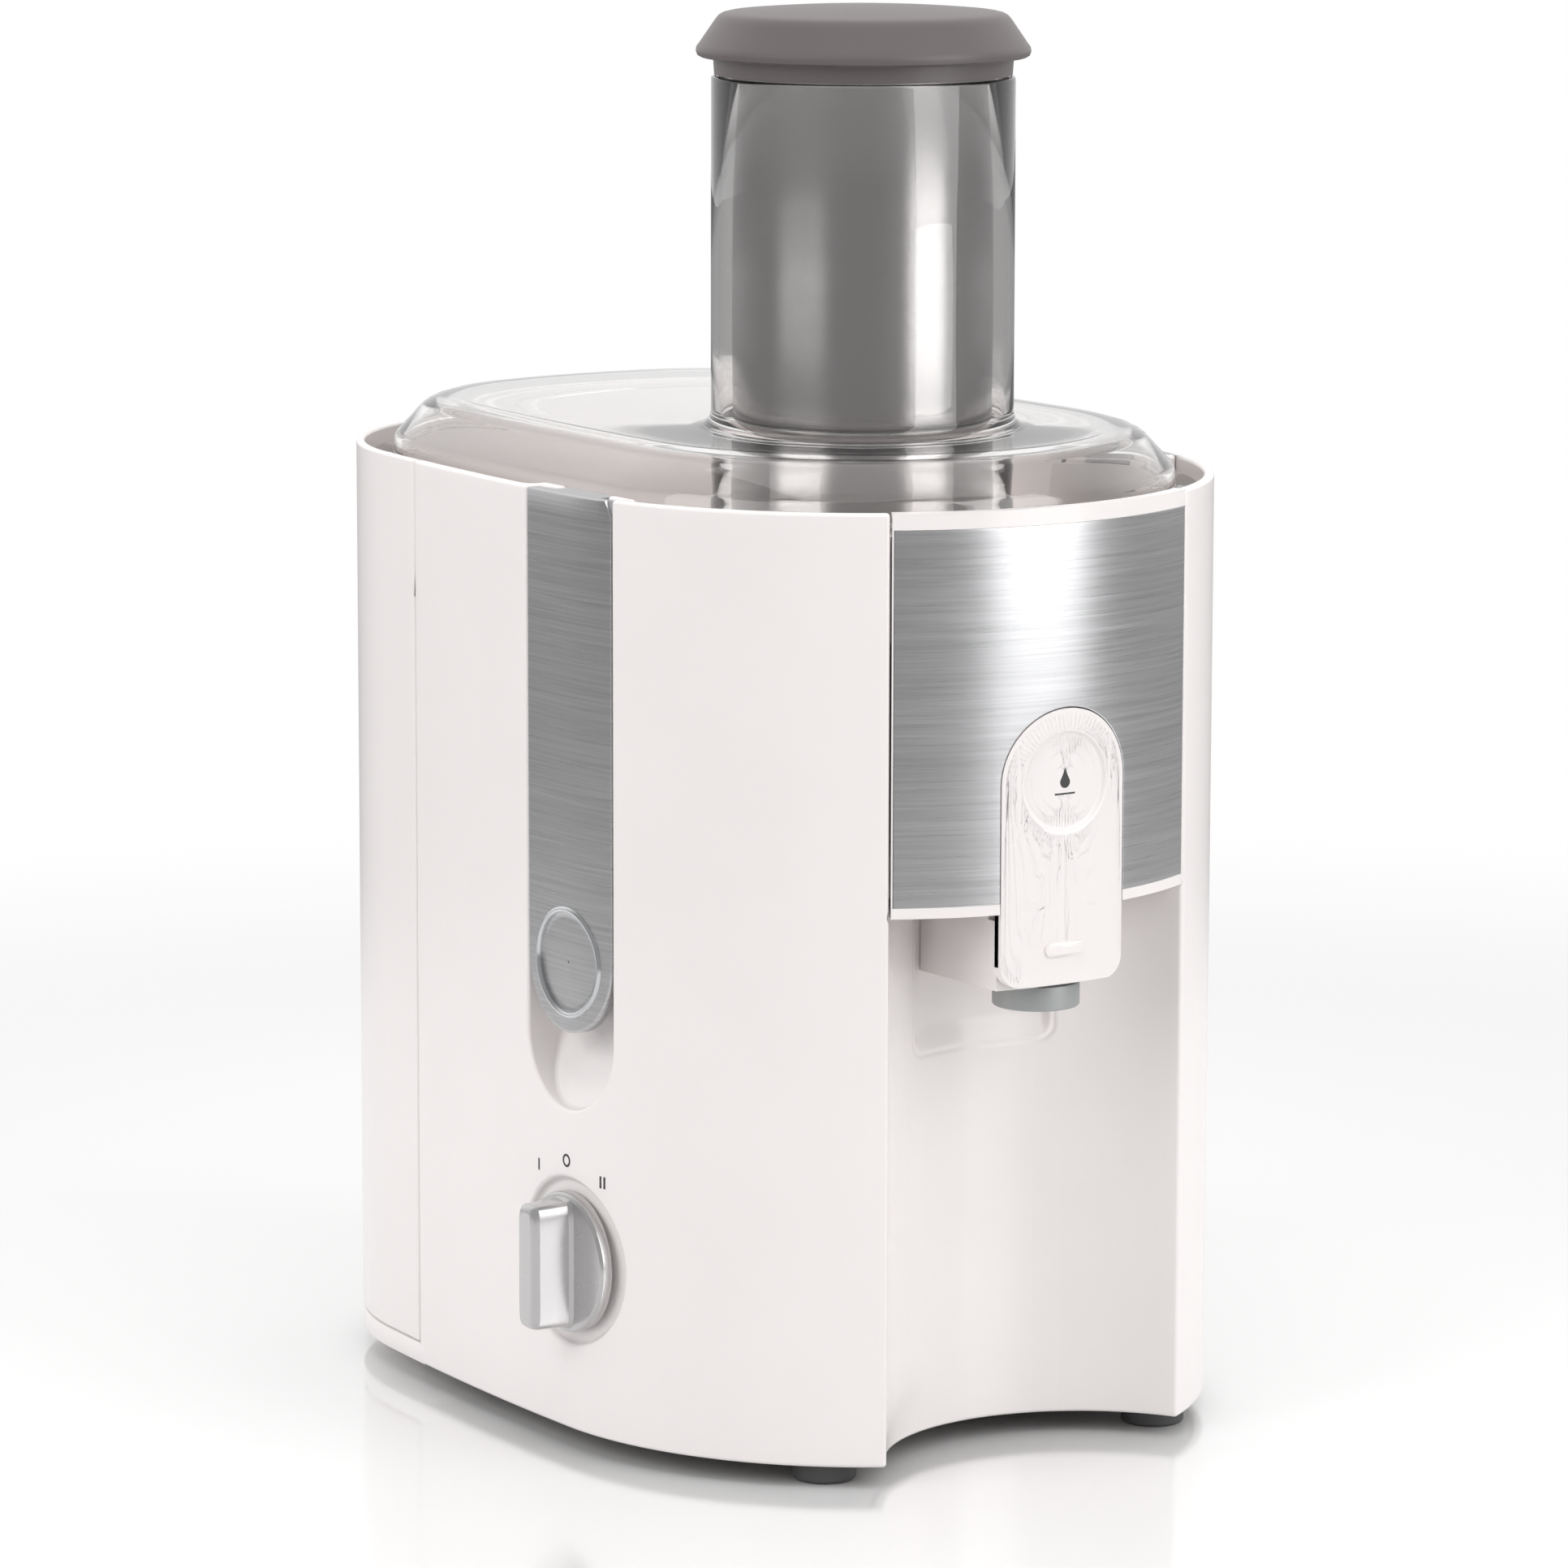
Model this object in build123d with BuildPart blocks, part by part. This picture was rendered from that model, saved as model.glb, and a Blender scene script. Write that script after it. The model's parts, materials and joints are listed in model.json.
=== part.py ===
"""Centrifugal juicer: motor housing, juice collector, spinning filter, clear lid, pusher, pulp container.

Millimetres. +Z is up, the front with the spout faces -Y and the switch side faces -X. The origin is on the
vertical drive axis, on the plane that the feet stand on.
"""
from math import acos, atan2, cos, degrees, radians, sin, sqrt
import os

from build123d import *

os.makedirs("parts", exist_ok=True)

# ---------------------------------------------------------------- driving dimensions: body outline
front_radius = 100.0          # half round front, which is also half the body's width
side_radius = 1000.0          # the long, almost flat sides
corner_radius = 80.0          # rear corners
rear_radius = 150.0           # rear end
rear_reach = 181.8            # drive axis to the rear end
body_wall = 3.0

# ---------------------------------------------------------------- driving dimensions: heights
foot_height = 6.0
base_thickness = 3.0
shelf_thickness = 6.0         # floor of the housing under the pulp container
deck_height = 150.0           # underside of the deck over the motor
deck_thickness = 3.0
rim_height = 272.3
front_wall_bottom = 160.5     # lower edge of the collector's front wall
bowl_bottom = 163.5
bowl_deck_height = 236.0      # underside of the pulp deck round the bowl
lid_seat_height = 265.8
lid_crown_height = 285.0
chute_top = 384.0
cap_top = 403.5

# ---------------------------------------------------------------- driving dimensions: jug bay
bay_half_angle = 30.1         # of the front round, at the bay's edges
bay_depth = 43.8              # front of the body to the bay's deepest line
bay_wall = 4.0
saddle_half_width = 24.0      # shallow recess behind the spout
saddle_bottom = 114.5
saddle_depth = 2.0

# ---------------------------------------------------------------- driving dimensions: clamps
clamp_width = 40.0
clamp_bottom = 120.0
clamp_thickness = 4.0
clamp_face_thickness = 1.2
clamp_pocket_depth = 12.0
clamp_pocket_shallow = 6.0
clamp_pocket_bottom = 98.0
clamp_pivot_height = 168.0
clamp_pivot_depth = 8.0
clamp_pin_radius = 1.5
clamp_dimple_radius = 15.0
pocket_wall = 2.2

# ---------------------------------------------------------------- driving dimensions: rotary switch
switch_y = -1.0
switch_height = 54.5
dish_radius = 24.0
dish_depth = 2.4
knob_radius = 20.0
knob_thickness = 4.0
grip_width = 10.4
grip_height = 12.0
knob_shaft_radius = 3.0

# ---------------------------------------------------------------- driving dimensions: collector and spout
bowl_radius = 84.0
bowl_wall = 2.2
panel_thickness = 0.8
panel_bottom = 163.5
panel_top = 267.7
cover_width = 41.0
cover_thickness = 3.0
cover_top = 216.5
cover_bottom = 139.5
cover_pivot_height = 166.0
cover_pivot_setback = 5.0     # behind the front of the body
cover_dimple_radius = 14.5
cover_travel_room = 4.9
spout_width = 39.0
spout_bottom = 138.5
spout_setback = 14.0
nozzle_radius = 12.2
nozzle_bore = 8.6
nozzle_bottom = 131.5

# ---------------------------------------------------------------- driving dimensions: filter
basket_clearance = 5.8        # basket rim to the bowl's inside
basket_taper = 14.0
basket_floor_height = 190.0
basket_top_height = 244.0
mesh_thickness = 0.8
coupling_radius = 11.0
coupling_top = 172.0

# ---------------------------------------------------------------- driving dimensions: chute and pusher
chute_radius = 43.0
chute_wall = 2.2
chute_bottom = 205.0
lid_wall = 2.5
lid_edge_inset = 11.0         # body outline to the foot of the lid's bevel
lid_crown_inset = 22.0        # body outline to the flat top
pusher_radius = 37.0
pusher_wall = 2.5
pusher_band_radius = 39.6
cap_radius = 47.3

# ---------------------------------------------------------------- driving dimensions: motor
shaft_radius = 4.0
rotor_radius = 20.4
air_gap = 0.6
stack_bottom = 62.0
stack_height = 45.0
stack_width = 76.0
stack_depth = 66.0
commutator_radius = 12.0
fan_radius = 38.0

# ---------------------------------------------------------------- clearances
running_gap = 0.05
slide_gap = 0.3
swing_gap = 0.5


# ---------------------------------------------------------------- shared outlines
side_centre_x = side_radius - front_radius
rear_centre_y = rear_reach - rear_radius


def corner_centre():
    """Centre of a rear corner arc, tangent inside both the side arc and the rear arc."""
    from_side = side_radius - corner_radius
    from_rear = rear_radius - corner_radius
    span = sqrt(side_centre_x**2 + rear_centre_y**2)
    along = (from_side**2 - from_rear**2 + span**2) / (2 * span)
    across = sqrt(from_side**2 - along**2)
    ux, uy = side_centre_x / span, rear_centre_y / span
    return -side_centre_x + along * ux - across * uy, along * uy + across * ux


corner_x, corner_y = corner_centre()
side_sweep = degrees(atan2(corner_y, corner_x + side_centre_x))
corner_end = degrees(atan2(corner_y - rear_centre_y, corner_x))


def body_face(inset, z):
    """The body's outline, moved inwards by inset, as a face at height z."""
    with BuildSketch(Plane.XY.offset(z)) as face:
        with BuildLine():
            CenterArc((0, 0), front_radius - inset, 180, 180)
            CenterArc((-side_centre_x, 0), side_radius - inset, 0, side_sweep)
            CenterArc((corner_x, corner_y), corner_radius - inset, side_sweep, corner_end - side_sweep)
            CenterArc((0, rear_centre_y), rear_radius - inset, corner_end, 180 - 2 * corner_end)
            CenterArc(
                (-corner_x, corner_y), corner_radius - inset, 180 - corner_end, corner_end - side_sweep
            )
            CenterArc((side_centre_x, 0), side_radius - inset, 180 - side_sweep, side_sweep)
        make_face()
    return face.sketch


def box_face(x0, x1, y0, y1, z):
    """A rectangle between two corners, as a face at height z."""
    with BuildSketch(Plane.XY.offset(z)) as face:
        with Locations(((x0 + x1) / 2, (y0 + y1) / 2)):
            Rectangle(x1 - x0, y1 - y0)
    return face.sketch


def disc_face(radius, z, x=0.0, y=0.0):
    """A disc at height z."""
    with BuildSketch(Plane.XY.offset(z)) as face:
        with Locations((x, y)):
            Circle(radius)
    return face.sketch


def ring_face(outer, inner, z, x=0.0, y=0.0):
    """A flat ring at height z."""
    with BuildSketch(Plane.XY.offset(z)) as face:
        with Locations((x, y)):
            Circle(outer)
            Circle(inner, mode=Mode.SUBTRACT)
    return face.sketch


def front_sector(outer, inner, half_angle, z):
    """A piece of a ring centred on the front line, half_angle to each side."""
    first = 270 - half_angle
    a, b = radians(first), radians(270 + half_angle)
    with BuildSketch(Plane.XY.offset(z)) as face:
        with BuildLine():
            CenterArc((0, 0), outer, first, 2 * half_angle)
            Line((outer * cos(b), outer * sin(b)), (inner * cos(b), inner * sin(b)))
            CenterArc((0, 0), inner, first, 2 * half_angle)
            Line((inner * cos(a), inner * sin(a)), (outer * cos(a), outer * sin(a)))
        make_face()
    return face.sketch


def finish(piece, name):
    """Label a piece and write its STEP file."""
    piece.label = name
    export_step(piece, f"parts/{name}.step")


basket_top_radius = bowl_radius - bowl_wall - basket_clearance
basket_floor_radius = basket_top_radius - basket_taper
cover_pivot_y = cover_pivot_setback - front_radius
spout_axis_y = spout_setback - front_radius
bay_depth_y = bay_depth - front_radius
bay_edge_x = front_radius * sin(radians(bay_half_angle))
bay_edge_y = -front_radius * cos(radians(bay_half_angle))
bay_sagitta = bay_depth_y - bay_edge_y
bay_radius = (bay_edge_x**2 + bay_sagitta**2) / (2 * bay_sagitta)
bay_centre_y = bay_depth_y - bay_radius
partition_y = 84.0
partition_wall = 2.5
container_front = partition_y + partition_wall + 1.0
base_top = foot_height + base_thickness
deck_top = deck_height + deck_thickness
clamp_half = clamp_width / 2
pocket_half = clamp_half + swing_gap
pocket_floor_x = front_radius - clamp_pocket_depth
pocket_shallow_x = front_radius - clamp_pocket_shallow
motor_post_x, motor_post_y, motor_post_radius = 40.0, 32.0, 6.0
screw_points = [(-70.0, -50.0), (70.0, -50.0), (-78.0, 62.0), (78.0, 62.0)]
foot_points = [(-57.0, -66.0), (57.0, -66.0), (-52.0, 140.0), (52.0, 140.0)]
foot_radius = 9.0
foot_plug_radius = 4.0
foot_plug_height = 3.5
gland_y, gland_height, gland_radius, cord_bore = 62.0, 24.0, 7.0, 3.6
screw_radius = 1.6
screw_length = 14.0
screw_head_radius = 3.2
screw_head_height = 2.0
post_bottom = 124.0
mount_plate_bottom = 116.0
mount_plate_top = 119.0
seal_radius = 16.0
nose_half_width = 12.0
nose_reach, nose_centre = 7.0, 6.3
nose_tip_x = front_radius - nose_centre - nose_reach / 2
nose_bottom = 266.5
board_x, board_thickness = 76.0, 1.6
board_points = [(-18.0, 36.0), (22.0, 36.0), (-18.0, 88.0), (22.0, 88.0)]


# ================================================================ motor housing
def clamp_pocket(side):
    """The space for one clamp: an upright slot whose floor runs out towards its lower end."""
    with BuildPart() as pocket:
        with BuildSketch(Plane.XZ.offset(-pocket_half - 1)):
            with BuildLine():
                Polyline(
                    (side * (front_radius + 2), clamp_pocket_bottom - 1),
                    (side * (front_radius - 2), clamp_pocket_bottom - 1),
                    (side * pocket_floor_x, clamp_bottom - 4),
                    (side * pocket_floor_x, clamp_pivot_height + 5),
                    (side * pocket_shallow_x, clamp_pivot_height + 14),
                    (side * pocket_shallow_x, rim_height + 1),
                    (side * (front_radius + 2), rim_height + 1),
                    close=True,
                )
            make_face()
        extrude(amount=2 * pocket_half + 2)
        with BuildSketch(Plane.YZ.offset(-front_radius - 3)):
            with Locations((0, (clamp_pocket_bottom + pocket_half + rim_height + 2) / 2)):
                Rectangle(2 * pocket_half, rim_height + 2 - clamp_pocket_bottom - pocket_half)
            with Locations((0, clamp_pocket_bottom + pocket_half)):
                Circle(pocket_half)
        extrude(amount=2 * front_radius + 6, mode=Mode.INTERSECT)
    return pocket.part


def pocket_lining(side):
    """The solid that the clamp pocket is cut into, inside the outer wall."""
    with BuildPart() as lining:
        with BuildSketch(Plane.XZ.offset(-pocket_half - pocket_wall)):
            with BuildLine():
                Polyline(
                    (side * (front_radius - 1), clamp_pocket_bottom - 4),
                    (side * (front_radius - 4), clamp_pocket_bottom - 4),
                    (side * (pocket_floor_x - pocket_wall), clamp_bottom - 5),
                    (side * (pocket_floor_x - pocket_wall), clamp_pivot_height + 6),
                    (side * (pocket_shallow_x - pocket_wall), clamp_pivot_height + 15),
                    (side * (pocket_shallow_x - pocket_wall), rim_height),
                    (side * (front_radius - 1), rim_height),
                    close=True,
                )
            make_face()
        extrude(amount=2 * (pocket_half + pocket_wall))
    return lining.part


with BuildPart() as bay_lining:
    extrude(
        disc_face(bay_radius + bay_wall, foot_height, 0, bay_centre_y),
        amount=front_wall_bottom - slide_gap - foot_height,
    )
    extrude(body_face(0, foot_height), amount=rim_height, mode=Mode.INTERSECT)

with BuildPart() as bay_space:
    extrude(disc_face(bay_radius, 0, 0, bay_centre_y), amount=front_wall_bottom)
    with BuildSketch(Plane.XZ.offset(-bay_depth_y - 20)):
        with Locations((0, (saddle_bottom + front_wall_bottom + 20) / 2)):
            RectangleRounded(2 * saddle_half_width, front_wall_bottom + 20 - saddle_bottom, 5)
    extrude(amount=40)
    extrude(
        disc_face(bay_radius + saddle_depth, 0, 0, bay_centre_y),
        amount=2 * rim_height,
        mode=Mode.INTERSECT,
    )
    extrude(disc_face(bay_radius, 0, 0, bay_centre_y), amount=front_wall_bottom)

with BuildPart() as housing_form:
    extrude(body_face(0, foot_height), amount=rim_height - foot_height)
    fillet(housing_form.faces().sort_by(Axis.Z)[-1].edges(), 1.0)
    extrude(body_face(body_wall, foot_height), amount=rim_height - foot_height, mode=Mode.SUBTRACT)
    back = partition_y + partition_wall
    extrude(
        box_face(-2 * front_radius, 2 * front_radius, back, 2 * rear_reach, foot_height),
        amount=rim_height,
        mode=Mode.SUBTRACT,
    )
    # partition towards the pulp container, shelf under the container, deck over the motor
    with BuildSketch(Plane.XY.offset(foot_height)):
        add(body_face(0.5, 0))
        add(box_face(-2 * front_radius, 2 * front_radius, partition_y, back, 0), mode=Mode.INTERSECT)
    extrude(amount=bowl_deck_height - slide_gap - foot_height)
    with BuildSketch(Plane.XY.offset(foot_height)):
        add(body_face(0, 0))
        add(
            box_face(-2 * front_radius, 2 * front_radius, partition_y, 2 * rear_reach, 0),
            mode=Mode.INTERSECT,
        )
    extrude(amount=shelf_thickness)
    with BuildSketch(Plane.XY.offset(deck_height)):
        add(body_face(body_wall - 0.5, 0))
        add(
            box_face(-2 * front_radius, 2 * front_radius, -2 * front_radius, back, 0), mode=Mode.INTERSECT
        )
    extrude(amount=deck_thickness)
    # linings: clamp pockets, jug bay, the thick spot behind the knob, posts and screw bosses
    for side in (-1, 1):
        add(pocket_lining(side))
    add(bay_lining.part)
    with BuildSketch(Plane.YZ.offset(-front_radius + 1)):
        with Locations((switch_y, switch_height)):
            Circle(dish_radius + 3)
    extrude(amount=body_wall + dish_depth)
    with BuildSketch(Plane.XY.offset(post_bottom)):
        with GridLocations(2 * motor_post_x, 2 * motor_post_y, 2, 2):
            Circle(motor_post_radius)
    extrude(amount=deck_height + 1 - post_bottom)
    with BuildSketch(Plane.XY.offset(base_top)):
        with Locations(*screw_points):
            Circle(4.5)
    extrude(amount=deck_height - base_top + 1)
    with BuildSketch(Plane.YZ.offset(board_x + board_thickness)):
        with Locations(*board_points):
            Circle(3)
    extrude(amount=front_radius - body_wall + 0.5 - board_x - board_thickness)
    # openings
    add(bay_space.part, mode=Mode.SUBTRACT)
    extrude(
        front_sector(front_radius + 5, 80, bay_half_angle, front_wall_bottom - slide_gap),
        amount=rim_height,
        mode=Mode.SUBTRACT,
    )
    for side in (-1, 1):
        add(clamp_pocket(side), mode=Mode.SUBTRACT)
        with Locations((side * (front_radius - clamp_pivot_depth), 0, clamp_pivot_height)):
            Cylinder(clamp_pin_radius, 2 * pocket_half + 3, rotation=(90, 0, 0), mode=Mode.SUBTRACT)
        with Locations((side * (front_radius - 4), 0, rim_height)):
            Box(
                16,
                2 * nose_half_width + 2 * swing_gap,
                2 * (rim_height - nose_bottom + 4),
                mode=Mode.SUBTRACT,
            )
    with Locations((-front_radius, switch_y, switch_height)):
        Cylinder(dish_radius, 2 * dish_depth, rotation=(0, 90, 0), mode=Mode.SUBTRACT)
        Cylinder(knob_shaft_radius + running_gap, 40, rotation=(0, 90, 0), mode=Mode.SUBTRACT)
    with Locations((front_radius, gland_y, gland_height)):
        Cylinder(gland_radius, 30, rotation=(0, 90, 0), mode=Mode.SUBTRACT)
    with Locations((0, 0, deck_height)):
        Cylinder(seal_radius, 20, mode=Mode.SUBTRACT)
    with BuildSketch(Plane.XY.offset(base_top)):
        with Locations(*screw_points):
            Circle(screw_radius)
    extrude(amount=screw_length, mode=Mode.SUBTRACT)
    with BuildSketch(Plane.XY.offset(post_bottom)):
        with GridLocations(2 * motor_post_x, 2 * motor_post_y, 2, 2):
            Circle(screw_radius)
    extrude(amount=screw_length, mode=Mode.SUBTRACT)
    with BuildSketch(Plane.XY.offset(foot_height)):
        with Locations(*foot_points[2:]):
            Circle(foot_plug_radius)
    extrude(amount=foot_plug_height, mode=Mode.SUBTRACT)

# the housing's pieces: deck with its posts, partition, shelf, jug bay wall and the two side walls
far = 2 * rear_reach
column_radius = motor_post_radius + 1.0
with BuildPart() as deck_zone:
    with BuildSketch(Plane.XY.offset(deck_height)):
        add(body_face(body_wall, 0))
        add(box_face(-far, far, -far, partition_y, 0), mode=Mode.INTERSECT)
    extrude(amount=deck_thickness)
    with BuildSketch(Plane.XY.offset(base_top)):
        with GridLocations(2 * motor_post_x, 2 * motor_post_y, 2, 2):
            Circle(column_radius)
        with Locations(*screw_points):
            Circle(column_radius)
    extrude(amount=deck_height - base_top)
    for side in (-1, 1):
        add(pocket_lining(side), mode=Mode.SUBTRACT)
    add(bay_lining.part, mode=Mode.SUBTRACT)

with BuildPart() as motor_deck:
    add(housing_form.part)
    add(deck_zone.part, mode=Mode.INTERSECT)
finish(motor_deck.part, "motor_deck")

with BuildPart() as partition_zone:
    with BuildSketch(Plane.XY.offset(foot_height + shelf_thickness)):
        add(body_face(body_wall, 0))
        add(box_face(-far, far, partition_y, back, 0), mode=Mode.INTERSECT)
    extrude(amount=rim_height)

with BuildPart() as housing_partition:
    add(housing_form.part)
    add(partition_zone.part, mode=Mode.INTERSECT)
finish(housing_partition.part, "housing_partition")

with BuildPart() as container_shelf:
    add(housing_form.part)
    extrude(
        box_face(-far, far, partition_y, far, foot_height), amount=shelf_thickness, mode=Mode.INTERSECT
    )
finish(container_shelf.part, "container_shelf")

with BuildPart() as housing_shell:
    add(housing_form.part)
    add(deck_zone.part, mode=Mode.SUBTRACT)
    add(partition_zone.part, mode=Mode.SUBTRACT)
    extrude(
        box_face(-far, far, partition_y, far, foot_height), amount=shelf_thickness, mode=Mode.SUBTRACT
    )

bay_half = bay_edge_x - body_wall - 1.0
with BuildPart() as housing_bay:
    add(housing_shell.part)
    extrude(box_face(-bay_half, bay_half, -far, 0, 0), amount=rim_height, mode=Mode.INTERSECT)
finish(housing_bay.part, "housing_bay")

for side, word in ((-1, "left"), (1, "right")):
    with BuildPart() as housing_side:
        add(housing_shell.part)
        extrude(box_face(-bay_half, bay_half, -far, 0, 0), amount=rim_height, mode=Mode.SUBTRACT)
        extrude(
            box_face(min(0, side * far), max(0, side * far), -far, far, 0),
            amount=2 * rim_height,
            mode=Mode.INTERSECT,
        )
    finish(housing_side.part, f"housing_{word}")


# ================================================================ base plate, screws, feet, cord gland
with BuildPart() as base_plate:
    extrude(body_face(body_wall + slide_gap, foot_height), amount=base_thickness)
    extrude(
        disc_face(bay_radius + bay_wall + slide_gap, foot_height, 0, bay_centre_y),
        amount=base_thickness,
        mode=Mode.SUBTRACT,
    )
    extrude(
        box_face(
            -2 * front_radius, 2 * front_radius, partition_y - slide_gap, 2 * rear_reach, foot_height
        ),
        amount=base_thickness,
        mode=Mode.SUBTRACT,
    )
    with BuildSketch(Plane.XY.offset(foot_height)):
        with GridLocations(30, 7, 3, 8):
            SlotOverall(24, 3)
        with Locations(*foot_points[:2]):
            Circle(foot_plug_radius)
    extrude(amount=base_thickness, mode=Mode.SUBTRACT)
    with Locations(*[(x, y, foot_height) for x, y in screw_points]):
        Cylinder(screw_radius + slide_gap, 4 * base_thickness, mode=Mode.SUBTRACT)
        Cylinder(screw_head_radius + slide_gap, 2 * screw_head_height, mode=Mode.SUBTRACT)
finish(base_plate.part, "base_plate")


def screws(points, head_bottom, name):
    """Identical cross-head screws that point up, one solid each."""
    with BuildPart() as group:
        with BuildSketch(Plane.XY.offset(head_bottom)):
            with Locations(*points):
                Circle(screw_head_radius)
        extrude(amount=screw_head_height)
        with BuildSketch(Plane.XY.offset(head_bottom)):
            with Locations(*points):
                Circle(screw_radius)
        extrude(amount=screw_length)
        with BuildSketch(Plane.XY.offset(head_bottom)):
            with Locations(*points):
                Rectangle(0.6, 3.4)
                Rectangle(3.4, 0.6)
        extrude(amount=1.0, mode=Mode.SUBTRACT)
    finish(group.part, name)


screws(screw_points, foot_height, "base_screws")

with BuildPart() as rubber_feet:
    with BuildSketch():
        with Locations(*foot_points):
            Circle(foot_radius)
    extrude(amount=foot_height)
    fillet(rubber_feet.faces().group_by(Axis.Z)[0].edges(), 1.2)
    with BuildSketch(Plane.XY.offset(foot_height)):
        with Locations(*foot_points):
            Circle(foot_plug_radius - running_gap)
    extrude(amount=foot_plug_height)
finish(rubber_feet.part, "rubber_feet")

gland_face_x = front_radius - body_wall - 2
with BuildPart() as cord_gland:
    with BuildSketch(Plane.YZ.offset(gland_face_x - 6)):
        with Locations((gland_y, gland_height)):
            Circle(gland_radius + 2.5)
    extrude(amount=5)
    with BuildSketch(Plane.YZ.offset(gland_face_x - 6)):
        with Locations((gland_y, gland_height)):
            Circle(gland_radius - running_gap)
    extrude(amount=10)
    with BuildSketch(Plane.YZ.offset(gland_face_x - 6)):
        with Locations((gland_y, gland_height)):
            Circle(cord_bore)
    extrude(amount=10, mode=Mode.SUBTRACT)
finish(cord_gland.part, "cord_gland")


# ================================================================ motor
legs = [(34.8, 0.0), (-34.8, 0.0), (0.0, 28.0), (0.0, -28.0)]
leg_radius = 3.0
bolt_radius = 1.8
stack_top = stack_bottom + stack_height
coil_width, coil_inner_x, coil_thickness, coil_band = 54.0, 22.0, 9.0, 8.0
bearing_radius, bearing_height = 8.0, 6.0
bearing_boss_radius = 12.5
lower_plate_bottom, plate_thickness = 36.0, 3.0
upper_bearing_bottom = mount_plate_bottom - 3
lower_bearing_bottom = lower_plate_bottom + 1
commutator_bottom, commutator_top = 43.6, 54.0
brush_size, brush_length, holder_size = 6.0, 14.0, 8.0
brush_height = (commutator_bottom + commutator_top) / 2 - 0.8
holder_x = 13.6
winding_height = 4.5
holder_length = 16.0


def coil_ring(side):
    """A field coil: a flat ring round one pole, upright in the Y-Z plane."""
    with BuildPart() as coil:
        with BuildSketch(Plane.YZ.offset(side * (coil_inner_x + coil_thickness / 2))):
            with Locations((0, stack_bottom + stack_height / 2)):
                RectangleRounded(coil_width, stack_height + 2 * coil_band, 7)
                Rectangle(coil_width - 2 * coil_band, stack_height + 2 * slide_gap, mode=Mode.SUBTRACT)
        extrude(amount=coil_thickness / 2, both=True)
    return coil.part


with BuildPart() as stator_stack:
    with BuildSketch(Plane.XY.offset(stack_bottom)):
        RectangleRounded(stack_width, stack_depth, 12)
        Circle(rotor_radius + air_gap, mode=Mode.SUBTRACT)
        for side in (-1, 1):
            with Locations((side * (coil_inner_x + coil_thickness / 2), 0)):
                with GridLocations(0.1, coil_width - coil_band, 1, 2):
                    Rectangle(
                        coil_thickness + 2 * slide_gap, coil_band + 2 * slide_gap, mode=Mode.SUBTRACT
                    )
        with Locations(*legs[2:]):
            Circle(bolt_radius + running_gap, mode=Mode.SUBTRACT)
    extrude(amount=stack_height)
finish(stator_stack.part, "stator_stack")

with BuildPart() as field_coils:
    for side in (-1, 1):
        add(coil_ring(side))
finish(field_coils.part, "field_coils")

with BuildPart() as upper_bracket:
    with BuildSketch(Plane.XY.offset(mount_plate_bottom)):
        RectangleRounded(2 * motor_post_x + 16, 2 * motor_post_y + 16, 8)
        with PolarLocations(23, 4, start_angle=45):
            Circle(6.5, mode=Mode.SUBTRACT)
        with GridLocations(2 * motor_post_x, 2 * motor_post_y, 2, 2):
            Circle(screw_radius + slide_gap, mode=Mode.SUBTRACT)
    extrude(amount=mount_plate_top - mount_plate_bottom)
    extrude(disc_face(bearing_boss_radius, upper_bearing_bottom - 1), amount=bearing_height + 2)
    with BuildSketch(Plane.XY.offset(stack_top)):
        with Locations(*legs):
            Circle(leg_radius)
    extrude(amount=mount_plate_bottom - stack_top)
    extrude(disc_face(bearing_radius, upper_bearing_bottom), amount=bearing_height, mode=Mode.SUBTRACT)
    extrude(disc_face(shaft_radius + 1, upper_bearing_bottom - 2), amount=12, mode=Mode.SUBTRACT)
    with BuildSketch(Plane.XY.offset(stack_top)):
        with Locations(*legs[2:]):
            Circle(bolt_radius + running_gap)
    extrude(amount=20, mode=Mode.SUBTRACT)
finish(upper_bracket.part, "upper_bracket")

with BuildPart() as lower_bracket:
    with BuildSketch(Plane.XY.offset(lower_plate_bottom)):
        RectangleRounded(stack_width + 4, stack_depth + 4, 14)
        with PolarLocations(24, 4, start_angle=45):
            Circle(7.5, mode=Mode.SUBTRACT)
    extrude(amount=plate_thickness)
    extrude(disc_face(bearing_boss_radius, lower_plate_bottom), amount=bearing_height + 1)
    with BuildSketch(Plane.XY.offset(lower_plate_bottom + plate_thickness)):
        with Locations(*legs):
            Circle(leg_radius)
    extrude(amount=stack_bottom - lower_plate_bottom - plate_thickness)
    with BuildSketch(Plane.XY.offset(lower_plate_bottom + plate_thickness)):
        with GridLocations(2 * (holder_x + holder_length / 2), 1, 2, 1):
            Rectangle(holder_length - 4, holder_size - 2)
    extrude(amount=brush_height - holder_size / 2 - lower_plate_bottom - plate_thickness)
    extrude(
        disc_face(bearing_radius, lower_bearing_bottom), amount=bearing_height + 1, mode=Mode.SUBTRACT
    )
    extrude(disc_face(shaft_radius + 1, lower_plate_bottom - 1), amount=4, mode=Mode.SUBTRACT)
    with BuildSketch(Plane.XY.offset(lower_plate_bottom - 1)):
        with Locations(*legs[2:]):
            Circle(bolt_radius + running_gap)
    extrude(amount=40, mode=Mode.SUBTRACT)
finish(lower_bracket.part, "lower_bracket")

with BuildPart() as motor_bolts:
    with BuildSketch(Plane.XY.offset(lower_plate_bottom)):
        with Locations(*legs[2:]):
            Circle(bolt_radius)
    extrude(amount=mount_plate_top - lower_plate_bottom)
    with BuildSketch(Plane.XY.offset(mount_plate_top)):
        with Locations(*legs[2:]):
            RegularPolygon(3.4, 6)
    extrude(amount=2.4)
finish(motor_bolts.part, "motor_bolts")

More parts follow.
